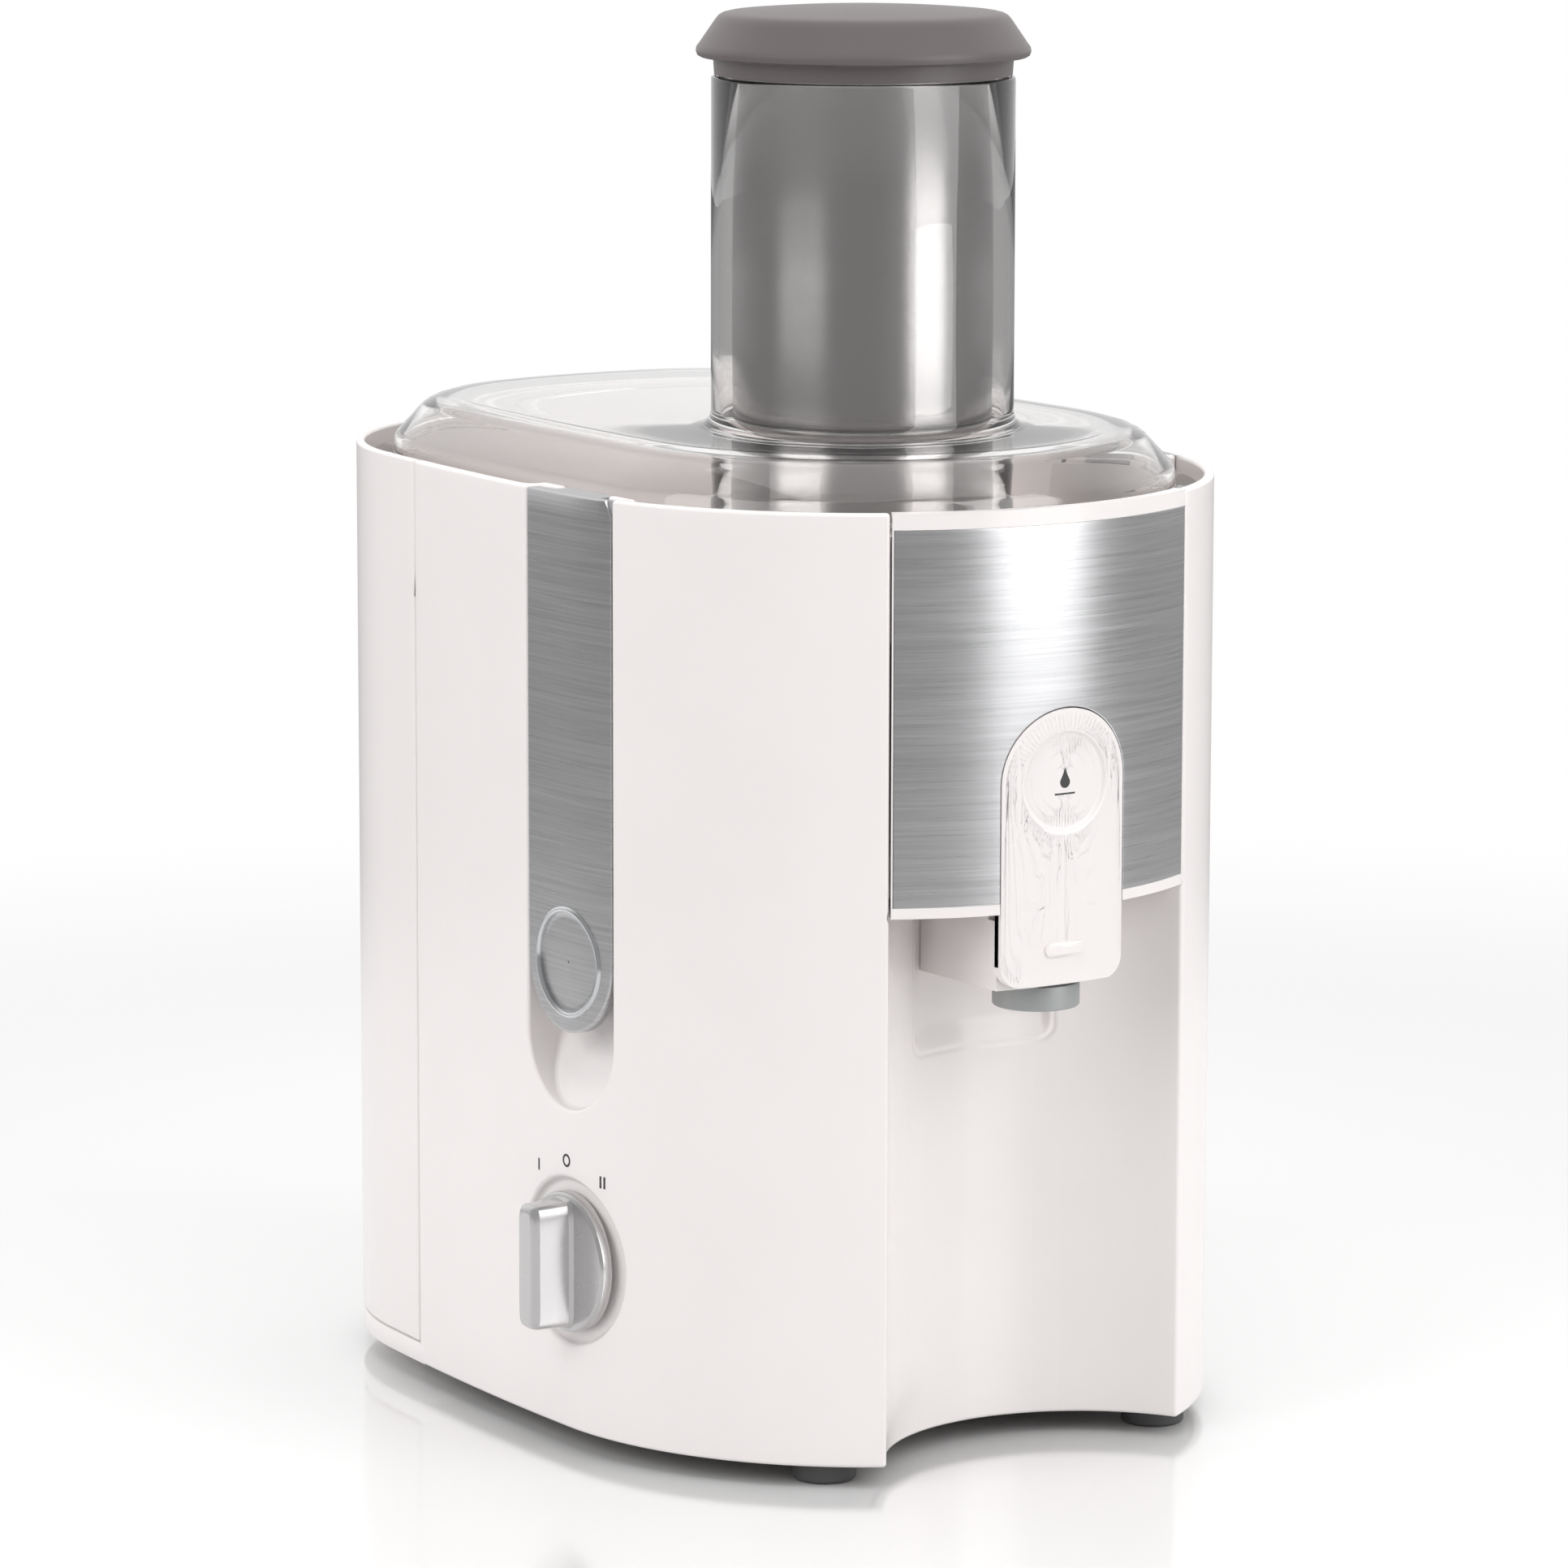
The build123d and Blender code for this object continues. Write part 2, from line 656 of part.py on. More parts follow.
for name, bottom in (("upper_bearing", upper_bearing_bottom), ("lower_bearing", lower_bearing_bottom)):
    with BuildPart() as bearing:
        extrude(
            ring_face(bearing_radius - running_gap, shaft_radius + running_gap, bottom),
            amount=bearing_height,
        )
        chamfer(bearing.edges().filter_by(GeomType.CIRCLE), 0.3)
    finish(bearing.part, name)

with BuildPart() as brush_holders:
    for side in (-1, 1):
        with BuildSketch(Plane.YZ.offset(side * holder_x)):
            with Locations((0, brush_height)):
                Rectangle(holder_size, holder_size)
                Rectangle(brush_size + 0.2, brush_size + 0.2, mode=Mode.SUBTRACT)
        extrude(amount=side * holder_length)
finish(brush_holders.part, "brush_holders")

with BuildPart() as carbon_brushes:
    for side in (-1, 1):
        with BuildSketch(Plane.YZ.offset(side * (commutator_radius + 0.1))):
            with Locations((0, brush_height)):
                Rectangle(brush_size, brush_size)
        extrude(amount=side * brush_length)
finish(carbon_brushes.part, "carbon_brushes")

with BuildPart() as motor_shaft:
    extrude(disc_face(shaft_radius, 20), amount=coupling_top - 4 - 20)
    chamfer(motor_shaft.edges().filter_by(GeomType.CIRCLE), 0.5)
finish(motor_shaft.part, "motor_shaft")

with BuildPart() as armature_core:
    with BuildSketch(Plane.XY.offset(stack_bottom)):
        Circle(rotor_radius)
        Circle(shaft_radius, mode=Mode.SUBTRACT)
        with PolarLocations(rotor_radius - 3.5, 12):
            SlotOverall(6, 3, mode=Mode.SUBTRACT)
        with PolarLocations(rotor_radius, 12):
            Rectangle(4, 1.6, mode=Mode.SUBTRACT)
    extrude(amount=stack_height)
finish(armature_core.part, "armature_core")

with BuildPart() as armature_windings:
    for bottom in (stack_bottom - winding_height, stack_top):
        with BuildSketch(Plane.XZ):
            with Locations((shaft_radius + 8, bottom + winding_height / 2)):
                RectangleRounded(12, winding_height, 2)
        revolve(axis=Axis.Z)
finish(armature_windings.part, "armature_windings")

with BuildPart() as commutator:
    with BuildSketch(Plane.XY.offset(commutator_bottom)):
        Circle(commutator_radius)
        Circle(shaft_radius, mode=Mode.SUBTRACT)
        with PolarLocations(commutator_radius, 16):
            Rectangle(2.0, 0.6, mode=Mode.SUBTRACT)
    extrude(amount=commutator_top - commutator_bottom)
finish(commutator.part, "commutator")

fan_bottom, fan_height = 22.0, 11.0
with BuildPart() as cooling_fan:
    extrude(ring_face(9, shaft_radius, fan_bottom), amount=fan_height)
    extrude(ring_face(fan_radius, shaft_radius, fan_bottom + fan_height - 1.5), amount=1.5)
    with BuildSketch(Plane.XY.offset(fan_bottom)):
        with PolarLocations(0, 12):
            with Locations((fan_radius / 2 + 5, 0)):
                Rectangle(fan_radius - 12, 1.4, rotation=24)
    extrude(amount=fan_height)
    extrude(disc_face(fan_radius, fan_bottom), amount=fan_height, mode=Mode.INTERSECT)
finish(cooling_fan.part, "cooling_fan")

with BuildPart() as mount_rubbers:
    with BuildSketch(Plane.XY.offset(mount_plate_top)):
        with GridLocations(2 * motor_post_x, 2 * motor_post_y, 2, 2):
            Circle(motor_post_radius + 1)
            Circle(screw_radius + running_gap, mode=Mode.SUBTRACT)
    extrude(amount=post_bottom - mount_plate_top)
finish(mount_rubbers.part, "mount_rubbers")
screws(
    [(x * motor_post_x, y * motor_post_y) for x in (-1, 1) for y in (-1, 1)],
    mount_plate_bottom - screw_head_height,
    "motor_screws",
)

with BuildPart() as shaft_seal:
    with BuildSketch(Plane.XZ):
        with BuildLine():
            Polyline(
                (shaft_radius + 0.3, deck_height - 1),
                (seal_radius - running_gap, deck_height - 1),
                (seal_radius - running_gap, deck_top + 0.6),
                (seal_radius - 3, deck_top + 0.6),
                (shaft_radius + 3, deck_top - 1.5),
                (shaft_radius + 0.3, deck_top - 0.5),
                close=True,
            )
        make_face()
    revolve(axis=Axis.Z)
finish(shaft_seal.part, "shaft_seal")

coupling_flange_bottom = deck_top + 1.5
with BuildPart() as drive_coupling:
    extrude(disc_face(coupling_radius + 2.5, coupling_flange_bottom), amount=3)
    with BuildSketch(Plane.XY.offset(coupling_flange_bottom)):
        RegularPolygon(coupling_radius, 6)
    extrude(amount=coupling_top - coupling_flange_bottom)
    chamfer(drive_coupling.faces().sort_by(Axis.Z)[-1].edges(), 1.5)
    extrude(
        disc_face(shaft_radius, coupling_flange_bottom),
        amount=coupling_top - 4 - coupling_flange_bottom,
        mode=Mode.SUBTRACT,
    )
finish(drive_coupling.part, "drive_coupling")


# ================================================================ switch, knob, board, sensor
switch_size = 28.0
switch_face_x = front_radius - 1 - body_wall - dish_depth
with BuildPart() as rotary_switch:
    with BuildSketch(Plane.YZ.offset(-switch_face_x)):
        with Locations((switch_y, switch_height)):
            RectangleRounded(switch_size, switch_size, 2)
    extrude(amount=20)
    with BuildSketch(Plane.YZ.offset(-switch_face_x)):
        with Locations((switch_y, switch_height)):
            Circle(knob_shaft_radius + running_gap)
    extrude(amount=14, mode=Mode.SUBTRACT)
    with BuildSketch(Plane.YZ.offset(-switch_face_x + 20)):
        with Locations((switch_y, switch_height)):
            with GridLocations(8, 10, 3, 2):
                Rectangle(4, 0.8)
    extrude(amount=6)
finish(rotary_switch.part, "rotary_switch")

knob_back_x = front_radius - dish_depth + 0.4
with BuildPart() as rotary_knob:
    with BuildSketch(Plane.YZ.offset(-knob_back_x)):
        with Locations((switch_y, switch_height)):
            Circle(knob_radius)
    extrude(amount=-knob_thickness)
    fillet(rotary_knob.faces().sort_by(Axis.X)[0].edges(), 1.2)
    with BuildSketch(Plane.YZ.offset(-knob_back_x)):
        with Locations((switch_y, switch_height)):
            SlotOverall(2 * knob_radius - 1, grip_width, rotation=90)
    extrude(amount=-knob_thickness - grip_height)
    fillet(rotary_knob.faces().sort_by(Axis.X)[0].edges(), 1.8)
    with BuildSketch(Plane.YZ.offset(-knob_back_x)):
        with Locations((switch_y, switch_height)):
            Circle(knob_shaft_radius)
    extrude(amount=knob_back_x - switch_face_x + 13)
finish(rotary_knob.part, "rotary_knob")

with BuildPart() as speed_board:
    with BuildSketch(Plane.YZ.offset(board_x)):
        with Locations((2, 62)):
            RectangleRounded(50, 64, 2)
    extrude(amount=board_thickness)
finish(speed_board.part, "speed_board")

with BuildPart() as board_parts:
    with BuildSketch(Plane.YZ.offset(board_x)):
        with Locations((-10, 50)):
            Circle(8)
        with Locations((12, 50)):
            RectangleRounded(20, 16, 1)
        with Locations((0, 78)):
            Rectangle(30, 12)
    extrude(amount=-18)
finish(board_parts.part, "board_parts")

sensor_face_x = pocket_floor_x - pocket_wall
with BuildPart() as lid_sensor:
    with BuildSketch(Plane.YZ.offset(-sensor_face_x)):
        with Locations((0, clamp_bottom + 12)):
            RectangleRounded(18, 10, 2)
    extrude(amount=6)
finish(lid_sensor.part, "lid_sensor")


# ================================================================ clamps
clamp_round_z = clamp_bottom + clamp_half
clamp_top = rim_height - 0.5


def clamp_outline(x):
    """The clamp bar in the Y-Z plane, square above and round below."""
    with BuildSketch(Plane.YZ.offset(x)) as face:
        with Locations((0, (clamp_round_z + clamp_top) / 2)):
            Rectangle(clamp_width, clamp_top - clamp_round_z)
        with Locations((0, clamp_round_z)):
            Circle(clamp_half)
    return face.sketch


for side, word in ((-1, "left"), (1, "right")):
    pivot_x = side * (front_radius - clamp_pivot_depth)
    back_x = side * (front_radius - clamp_thickness - 0.2)
    with BuildPart() as clamp_bar:
        extrude(clamp_outline(back_x), amount=side * (clamp_thickness + 5))
        extrude(body_face(0.2, clamp_bottom - 5), amount=rim_height, mode=Mode.INTERSECT)
    with BuildPart() as clamp_face:
        add(clamp_bar.part)
        extrude(
            body_face(0.2 + clamp_face_thickness, clamp_bottom - 5), amount=rim_height, mode=Mode.SUBTRACT
        )
        with Locations((side * front_radius, 0, clamp_round_z)):
            Cylinder(clamp_dimple_radius, 2 * (0.2 + 0.8), rotation=(0, 90, 0), mode=Mode.SUBTRACT)
    finish(clamp_face.part, f"clamp_face_{word}")
    with BuildPart() as clamp_lever:
        add(clamp_bar.part)
        extrude(
            body_face(0.2 + clamp_face_thickness, clamp_bottom - 5),
            amount=rim_height,
            mode=Mode.INTERSECT,
        )
        for y in (-13, 13):
            with BuildSketch(Plane.XZ.offset(-y - 3)):
                with Locations((pivot_x, clamp_pivot_height)):
                    Circle(3.6)
                with Locations(((pivot_x + back_x) / 2, clamp_pivot_height)):
                    Rectangle(abs(back_x - pivot_x) + 0.5, 7.2)
            extrude(amount=6)
        with Locations((side * (front_radius - nose_centre), 0, (nose_bottom + clamp_top) / 2)):
            Box(nose_reach, 2 * nose_half_width, clamp_top - nose_bottom)
        with Locations((pivot_x, 0, clamp_pivot_height)):
            Cylinder(clamp_pin_radius + running_gap, clamp_width, rotation=(90, 0, 0), mode=Mode.SUBTRACT)
    finish(clamp_lever.part, f"clamp_lever_{word}")
    with BuildPart() as clamp_pin:
        with Locations((pivot_x, 0, clamp_pivot_height)):
            Cylinder(clamp_pin_radius, 2 * pocket_half + 3, rotation=(90, 0, 0))
    finish(clamp_pin.part, f"clamp_pin_{word}")

with BuildPart() as clamp_springs:
    for side in (-1, 1):
        pivot_x = side * (front_radius - clamp_pivot_depth)
        with BuildSketch(Plane.XZ.offset(-9)):
            with Locations((pivot_x, clamp_pivot_height)):
                Circle(clamp_pin_radius + 1.5)
                Circle(clamp_pin_radius + 0.3, mode=Mode.SUBTRACT)
        extrude(amount=18)
        with BuildSketch(Plane.XY.offset(clamp_pivot_height - 14)):
            with Locations((side * (pocket_floor_x + 1.3), -8.2)):
                Circle(0.6)
        extrude(amount=14)
finish(clamp_springs.part, "clamp_springs")


# ================================================================ juice collector and spout
wall_gap = 3.6                # body outline to the collector's outline
collector_back = partition_y + 14
collector_notch_x = nose_tip_x - slide_gap
notch_half = pocket_half + pocket_wall + 1.8
deck_plate = 2.5
upstand_wall = 2.4
hub_tube_radius = 17.0
hub_tube_top = 180.0
front_wall_thickness = 5.0
front_half_angle = bay_half_angle - 0.3
cover_half = cover_width / 2
cover_gap = 0.35
cover_outer = front_radius - 0.05
cover_inner = cover_outer - cover_thickness
cover_pocket_radius = cover_inner - cover_travel_room + 0.3
cover_round_z = cover_top - cover_half
cover_pin_radius = 1.5
chamber_half, chamber_floor = 10.0, 142.0
chamber_front, chamber_back = 8.0 - front_radius, 16.0 - bowl_radius
chamber_roof = 158.0
outlet_y, outlet_radius = 17.0 - front_radius, 4.5
neck_radius = 9.8
neck_top = 140.5


def collector_outline(inset, z):
    """The collector's outline: the body's, cut off behind the partition and notched at the clamps."""
    with BuildSketch(Plane.XY.offset(z)) as face:
        add(body_face(wall_gap + inset, 0))
        add(box_face(-200, 200, -200, collector_back - inset, 0), mode=Mode.INTERSECT)
        for side in (-1, 1):
            near, far = side * (collector_notch_x - inset), side * 200
            half = notch_half + inset
            add(box_face(min(near, far), max(near, far), -half, half, 0), mode=Mode.SUBTRACT)
    return face.sketch


def arch_prism(half, bottom, round_z, back, front, lower_round=0.0):
    """An arch-topped prism along Y between back and front."""
    with BuildPart() as prism:
        with BuildSketch(Plane.XZ.offset(-back)):
            with Locations((0, (bottom + round_z) / 2)):
                body = Rectangle(2 * half, round_z - bottom)
            if lower_round > 0:
                fillet(body.vertices().group_by(Axis.Y)[0], lower_round)
            with Locations((0, round_z)):
                Circle(half)
        extrude(amount=back - front)
    return prism.part


with BuildPart() as bowl_space:
    with BuildSketch(Plane.XZ):
        with BuildLine():
            Polyline(
                (hub_tube_radius + bowl_wall, bowl_bottom + 7.5),
                (bowl_radius - bowl_wall, bowl_bottom + 2.7),
                (bowl_radius - bowl_wall, rim_height),
                (0, rim_height),
                (0, hub_tube_top),
                (hub_tube_radius + bowl_wall, hub_tube_top),
                close=True,
            )
        make_face()
    revolve(axis=Axis.Z)

with BuildPart() as spout_block:
    extrude(
        box_face(-spout_width / 2, spout_width / 2, -front_radius, bay_depth_y + 3, spout_bottom),
        amount=36,
    )
    extrude(disc_face(cover_inner - 0.7, spout_bottom), amount=40, mode=Mode.INTERSECT)
    extrude(
        disc_face(bay_radius + saddle_depth - 0.4, spout_bottom, 0, bay_centre_y),
        amount=40,
        mode=Mode.INTERSECT,
    )

with BuildPart() as cover_pocket:
    add(arch_prism(cover_half + cover_gap, chamber_roof, cover_round_z, -60, -front_radius - 5))
    extrude(disc_face(cover_pocket_radius, 0), amount=rim_height, mode=Mode.SUBTRACT)

with BuildPart() as collector_form:
    with BuildSketch(Plane.XZ):
        with BuildLine():
            Polyline(
                (hub_tube_radius, bowl_bottom + 5),
                (bowl_radius, bowl_bottom),
                (bowl_radius, bowl_deck_height + deck_plate),
                (hub_tube_radius, bowl_deck_height + deck_plate),
                close=True,
            )
        make_face()
    revolve(axis=Axis.Z)
    extrude(collector_outline(0, bowl_deck_height), amount=lid_seat_height - slide_gap - bowl_deck_height)
    extrude(
        collector_outline(upstand_wall, bowl_deck_height + deck_plate),
        amount=rim_height,
        mode=Mode.SUBTRACT,
    )
    extrude(
        box_face(-front_radius + 14, front_radius - 14, partition_y, 200, bowl_deck_height + deck_plate),
        amount=rim_height,
        mode=Mode.SUBTRACT,
    )
    extrude(
        front_sector(front_radius, front_radius - front_wall_thickness, front_half_angle, front_wall_bottom),
        amount=rim_height - front_wall_bottom,
    )
    extrude(
        front_sector(front_radius - 2, cover_pocket_radius - 2.5, 15, front_wall_bottom),
        amount=cover_top + 8 - front_wall_bottom,
    )
    for side in (-1, 1):
        x = side * 13.0
        extrude(box_face(x - 1.25, x + 1.25, -cover_pocket_radius + 1, -bowl_radius + 1, bowl_bottom),
                amount=bowl_deck_height - bowl_bottom + 1)
    add(spout_block.part)
    add(bowl_space.part, mode=Mode.SUBTRACT)
    extrude(body_face(wall_gap, lid_seat_height - slide_gap), amount=rim_height, mode=Mode.SUBTRACT)
    # panel seat, cover pocket, pin holes
    extrude(
        front_sector(
            front_radius + 2, front_radius - panel_thickness, front_half_angle - 0.25, panel_bottom
        ),
        amount=panel_top - panel_bottom,
        mode=Mode.SUBTRACT,
    )
    add(cover_pocket.part, mode=Mode.SUBTRACT)
    with Locations((0, cover_pivot_y, cover_pivot_height)):
        Cylinder(cover_pin_radius, cover_width + 6, rotation=(0, 90, 0), mode=Mode.SUBTRACT)
    # spout chamber, outlet, slot for the cover's arm, bore of the hub tube
    extrude(
        box_face(-chamber_half, chamber_half, -bowl_radius + bowl_wall, chamber_back, chamber_floor),
        amount=34,
        mode=Mode.SUBTRACT,
    )
    extrude(
        box_face(-chamber_half, chamber_half, chamber_front, -bowl_radius + bowl_wall + 1, chamber_floor),
        amount=chamber_roof - 2 - chamber_floor,
        mode=Mode.SUBTRACT,
    )
    extrude(disc_face(outlet_radius, spout_bottom - 1, 0, outlet_y), amount=10, mode=Mode.SUBTRACT)
    extrude(
        disc_face(neck_radius, spout_bottom - 1, 0, spout_axis_y),
        amount=neck_top - spout_bottom + 1,
        mode=Mode.SUBTRACT,
    )
    extrude(
        box_face(-3.4, 3.4, -front_radius, chamber_front + 1, chamber_floor + 2),
        amount=chamber_roof - chamber_floor - 4,
        mode=Mode.SUBTRACT,
    )
    extrude(disc_face(hub_tube_radius, 100), amount=rim_height, mode=Mode.SUBTRACT)

# the collector's pieces: the bowl with its hub tube, the deck with its upstand, the front wall with the spout
with BuildPart() as bowl_zone:
    extrude(disc_face(bowl_radius, bowl_bottom), amount=bowl_deck_height - bowl_bottom)

with BuildPart() as deck_space:
    extrude(disc_face(2 * rear_reach, bowl_deck_height), amount=rim_height)
    extrude(
        front_sector(
            front_radius + 1, front_radius - wall_gap - upstand_wall, bay_half_angle, bowl_deck_height
        ),
        amount=rim_height,
        mode=Mode.SUBTRACT,
    )

with BuildPart() as juice_bowl:
    add(collector_form.part)
    add(bowl_zone.part, mode=Mode.INTERSECT)
finish(juice_bowl.part, "juice_bowl")

with BuildPart() as collector_deck:
    add(collector_form.part)
    add(deck_space.part, mode=Mode.INTERSECT)
finish(collector_deck.part, "collector_deck")

with BuildPart() as collector_front:
    add(collector_form.part)
    add(bowl_zone.part, mode=Mode.SUBTRACT)
    add(deck_space.part, mode=Mode.SUBTRACT)
finish(collector_front.part, "collector_front")

with BuildPart() as front_panel:
    extrude(
        front_sector(front_radius, front_radius - panel_thickness, front_half_angle - 0.35, panel_bottom),
        amount=panel_top - panel_bottom,
    )
    add(
        arch_prism(cover_half + cover_gap, panel_bottom - 5, cover_round_z, -60, -front_radius - 5),
        mode=Mode.SUBTRACT,
    )
finish(front_panel.part, "front_panel")

arm_bottom = 149.5
plug_bottom, plug_radius = 143.5, 6.5
with BuildPart() as dimple:
    with Locations((0, -front_radius, cover_round_z)):
        Cylinder(cover_dimple_radius, 20, rotation=(90, 0, 0))
    extrude(disc_face(cover_outer - 1.0, cover_round_z - 20), amount=40, mode=Mode.SUBTRACT)

with BuildPart() as spout_cover:
    add(arch_prism(cover_half, cover_bottom, cover_round_z, -60, -front_radius - 5, 6))
    extrude(disc_face(cover_outer, cover_bottom - 5), amount=rim_height, mode=Mode.INTERSECT)
    extrude(disc_face(cover_inner, cover_bottom - 5), amount=rim_height, mode=Mode.SUBTRACT)
    add(dimple.part, mode=Mode.SUBTRACT)
    with BuildSketch(Plane.XZ.offset(cover_outer - 1)):
        with Locations((0, cover_bottom + 10)):
            SlotOverall(14, 4)
    extrude(amount=1.4)
    for side in (-1, 1):
        with BuildSketch(Plane.YZ.offset(side * 16 - 2)):
            with Locations((cover_pivot_y, cover_pivot_height)):
                Circle(3.0)
                with Locations((-1.2, 0)):
                    Rectangle(2.4, 6.0)
        extrude(amount=4)
    extrude(box_face(-2.5, 2.5, -cover_inner - 0.6, outlet_y + 2.5, arm_bottom), amount=3)
    extrude(disc_face(2.0, plug_bottom + 2.5, 0, outlet_y), amount=arm_bottom + 1 - plug_bottom - 2.5)
    with Locations((0, cover_pivot_y, cover_pivot_height)):
        Cylinder(cover_pin_radius + running_gap, cover_width, rotation=(0, 90, 0), mode=Mode.SUBTRACT)
finish(spout_cover.part, "spout_cover")

with BuildPart() as valve_plug:
    extrude(disc_face(plug_radius, plug_bottom, 0, outlet_y), amount=2.5)
    chamfer(valve_plug.faces().sort_by(Axis.Z)[0].edges(), 0.8)
finish(valve_plug.part, "valve_plug")

with BuildPart() as cover_pin:
    with Locations((0, cover_pivot_y, cover_pivot_height)):
        Cylinder(cover_pin_radius, cover_width + 5, rotation=(0, 90, 0))
finish(cover_pin.part, "cover_pin")

with BuildPart() as spout_nozzle:
    extrude(disc_face(nozzle_radius, nozzle_bottom, 0, spout_axis_y), amount=spout_bottom - nozzle_bottom)
    fillet(spout_nozzle.faces().sort_by(Axis.Z)[0].edges(), 0.8)
    extrude(
        disc_face(neck_radius - running_gap, nozzle_bottom + 1, 0, spout_axis_y),
        amount=neck_top - nozzle_bottom - 1,
    )
    extrude(
        disc_face(nozzle_bore, nozzle_bottom, 0, spout_axis_y),
        amount=neck_top - nozzle_bottom,
        mode=Mode.SUBTRACT,
    )
finish(spout_nozzle.part, "spout_nozzle")


# ================================================================ filter
with BuildPart() as basket_mesh:
    with BuildSketch(Plane.XZ):
        with BuildLine():
            Polyline(
                (basket_floor_radius, basket_floor_height),
                (basket_top_radius - 1, basket_top_height - 2),
                (basket_top_radius - 1 - mesh_thickness, basket_top_height - 2),
                (basket_floor_radius - mesh_thickness, basket_floor_height),
                close=True,
            )
        make_face()
    revolve(axis=Axis.Z)
finish(basket_mesh.part, "basket_mesh")

with BuildPart() as basket_rim:
    with BuildSketch(Plane.XZ):
        with Locations((basket_top_radius - 1.4, basket_top_height)):
            RectangleRounded(4, 4, 1)
    revolve(axis=Axis.Z)
    add(basket_mesh.part, mode=Mode.SUBTRACT)
finish(basket_rim.part, "basket_rim")

hub_skirt_radius = 26.0
with BuildPart() as basket_base:
    extrude(disc_face(basket_floor_radius, basket_floor_height - 4), amount=4)
    extrude(
        ring_face(hub_skirt_radius, hub_skirt_radius - 2.5, coupling_top + 3),
        amount=basket_floor_height - 4 - coupling_top - 3,
    )
    extrude(
        disc_face(15.5, coupling_flange_bottom + 3.5),
        amount=basket_floor_height - 4 - coupling_flange_bottom - 3.5,
    )
    with BuildSketch(Plane.XY.offset(coupling_flange_bottom)):
        RegularPolygon(coupling_radius + slide_gap + 0.1, 6)
    extrude(amount=coupling_top + slide_gap - coupling_flange_bottom, mode=Mode.SUBTRACT)
finish(basket_base.part, "basket_base")

with BuildPart() as grater_disc:
    extrude(disc_face(basket_floor_radius - mesh_thickness - 0.5, basket_floor_height), amount=1.0)
    extrude(disc_face(9, basket_floor_height), amount=3.5)
    with BuildSketch(Plane.XY.offset(basket_floor_height)):
        for ring, (radius, count) in enumerate(((18, 10), (27, 16), (36, 22), (45, 28), (54, 34))):
            with PolarLocations(radius, count, start_angle=8 * ring):
                Rectangle(2.4, 0.9, rotation=35)
    extrude(amount=2.6)
finish(grater_disc.part, "grater_disc")


# ================================================================ lid, pusher
chute_bore = chute_radius - chute_wall
lid_notch_x = front_radius - 10.4
lid_notch_half = pocket_half + pocket_wall + slide_gap


def crown(inset, bottom, top):
    """The lid's bevelled form: upright at the foot, sloped from the edge inset to the crown inset."""
    foot_inset = lid_edge_inset + inset
    with BuildPart() as form:
        extrude(body_face(foot_inset, bottom), amount=top - 11.5 - bottom)
        loft([body_face(foot_inset, top - 11.5), body_face(lid_crown_inset + inset, top)], ruled=True)
    return form.part


with BuildPart() as lid_space:
    add(crown(lid_wall, lid_seat_height - 1, lid_crown_height - lid_wall))
    extrude(disc_face(chute_radius, lid_seat_height - 2), amount=40, mode=Mode.SUBTRACT)

with BuildPart() as lid_form:
    with BuildSketch(Plane.XY.offset(lid_seat_height)):
        add(body_face(wall_gap + 0.6, 0))
        for side in (-1, 1):
            near, far = side * lid_notch_x, side * 200
            add(
                box_face(min(near, far), max(near, far), -lid_notch_half, lid_notch_half, 0),
                mode=Mode.SUBTRACT,
            )
    extrude(amount=2.5)
    add(crown(0, lid_seat_height, lid_crown_height))
    extrude(disc_face(chute_radius, chute_bottom), amount=chute_top - chute_bottom)
    add(lid_space.part, mode=Mode.SUBTRACT)
    with BuildSketch(Plane.XZ):
        with BuildLine():
            Polyline(
                (chute_radius - 0.5, lid_crown_height - 1),
                (chute_radius + 4, lid_crown_height - 1),
                (chute_radius + 4, lid_crown_height + 0.4),
                (chute_radius + 1.6, lid_crown_height + 1.6),
                (chute_radius + 0.4, lid_crown_height + 5),
                (chute_radius - 0.5, lid_crown_height + 7),
                close=True,
            )
        make_face()
    revolve(axis=Axis.Z)
    extrude(
        disc_face(chute_bore, chute_bottom - 1), amount=chute_top - chute_bottom + 2, mode=Mode.SUBTRACT
    )

with BuildPart() as lid:
    add(lid_form.part)
    extrude(disc_face(chute_radius, chute_bottom - 1), amount=chute_top, mode=Mode.SUBTRACT)
finish(lid.part, "lid")

with BuildPart() as feed_chute:
    add(lid_form.part)
    extrude(disc_face(chute_radius, chute_bottom - 1), amount=chute_top, mode=Mode.INTERSECT)
finish(feed_chute.part, "feed_chute")

pusher_bottom = chute_bottom + 2
collar_bottom = chute_top + 0.3
dome_edge, dome_drop = cap_radius - 9.0, cap_top - collar_bottom - 17.4
dome_radius = (dome_edge**2 + dome_drop**2) / (2 * dome_drop)
dome_angle = degrees(acos(dome_edge / dome_radius))
with BuildPart() as pusher_body:
    extrude(disc_face(pusher_radius, pusher_bottom), amount=collar_bottom - pusher_bottom)
    extrude(disc_face(pusher_band_radius, pusher_bottom), amount=5)
    extrude(
        disc_face(pusher_radius - pusher_wall, pusher_bottom + pusher_wall),
        amount=200,
        mode=Mode.SUBTRACT,
    )
    fillet(pusher_body.faces().sort_by(Axis.Z)[0].edges(), 1.2)
finish(pusher_body.part, "pusher_body")

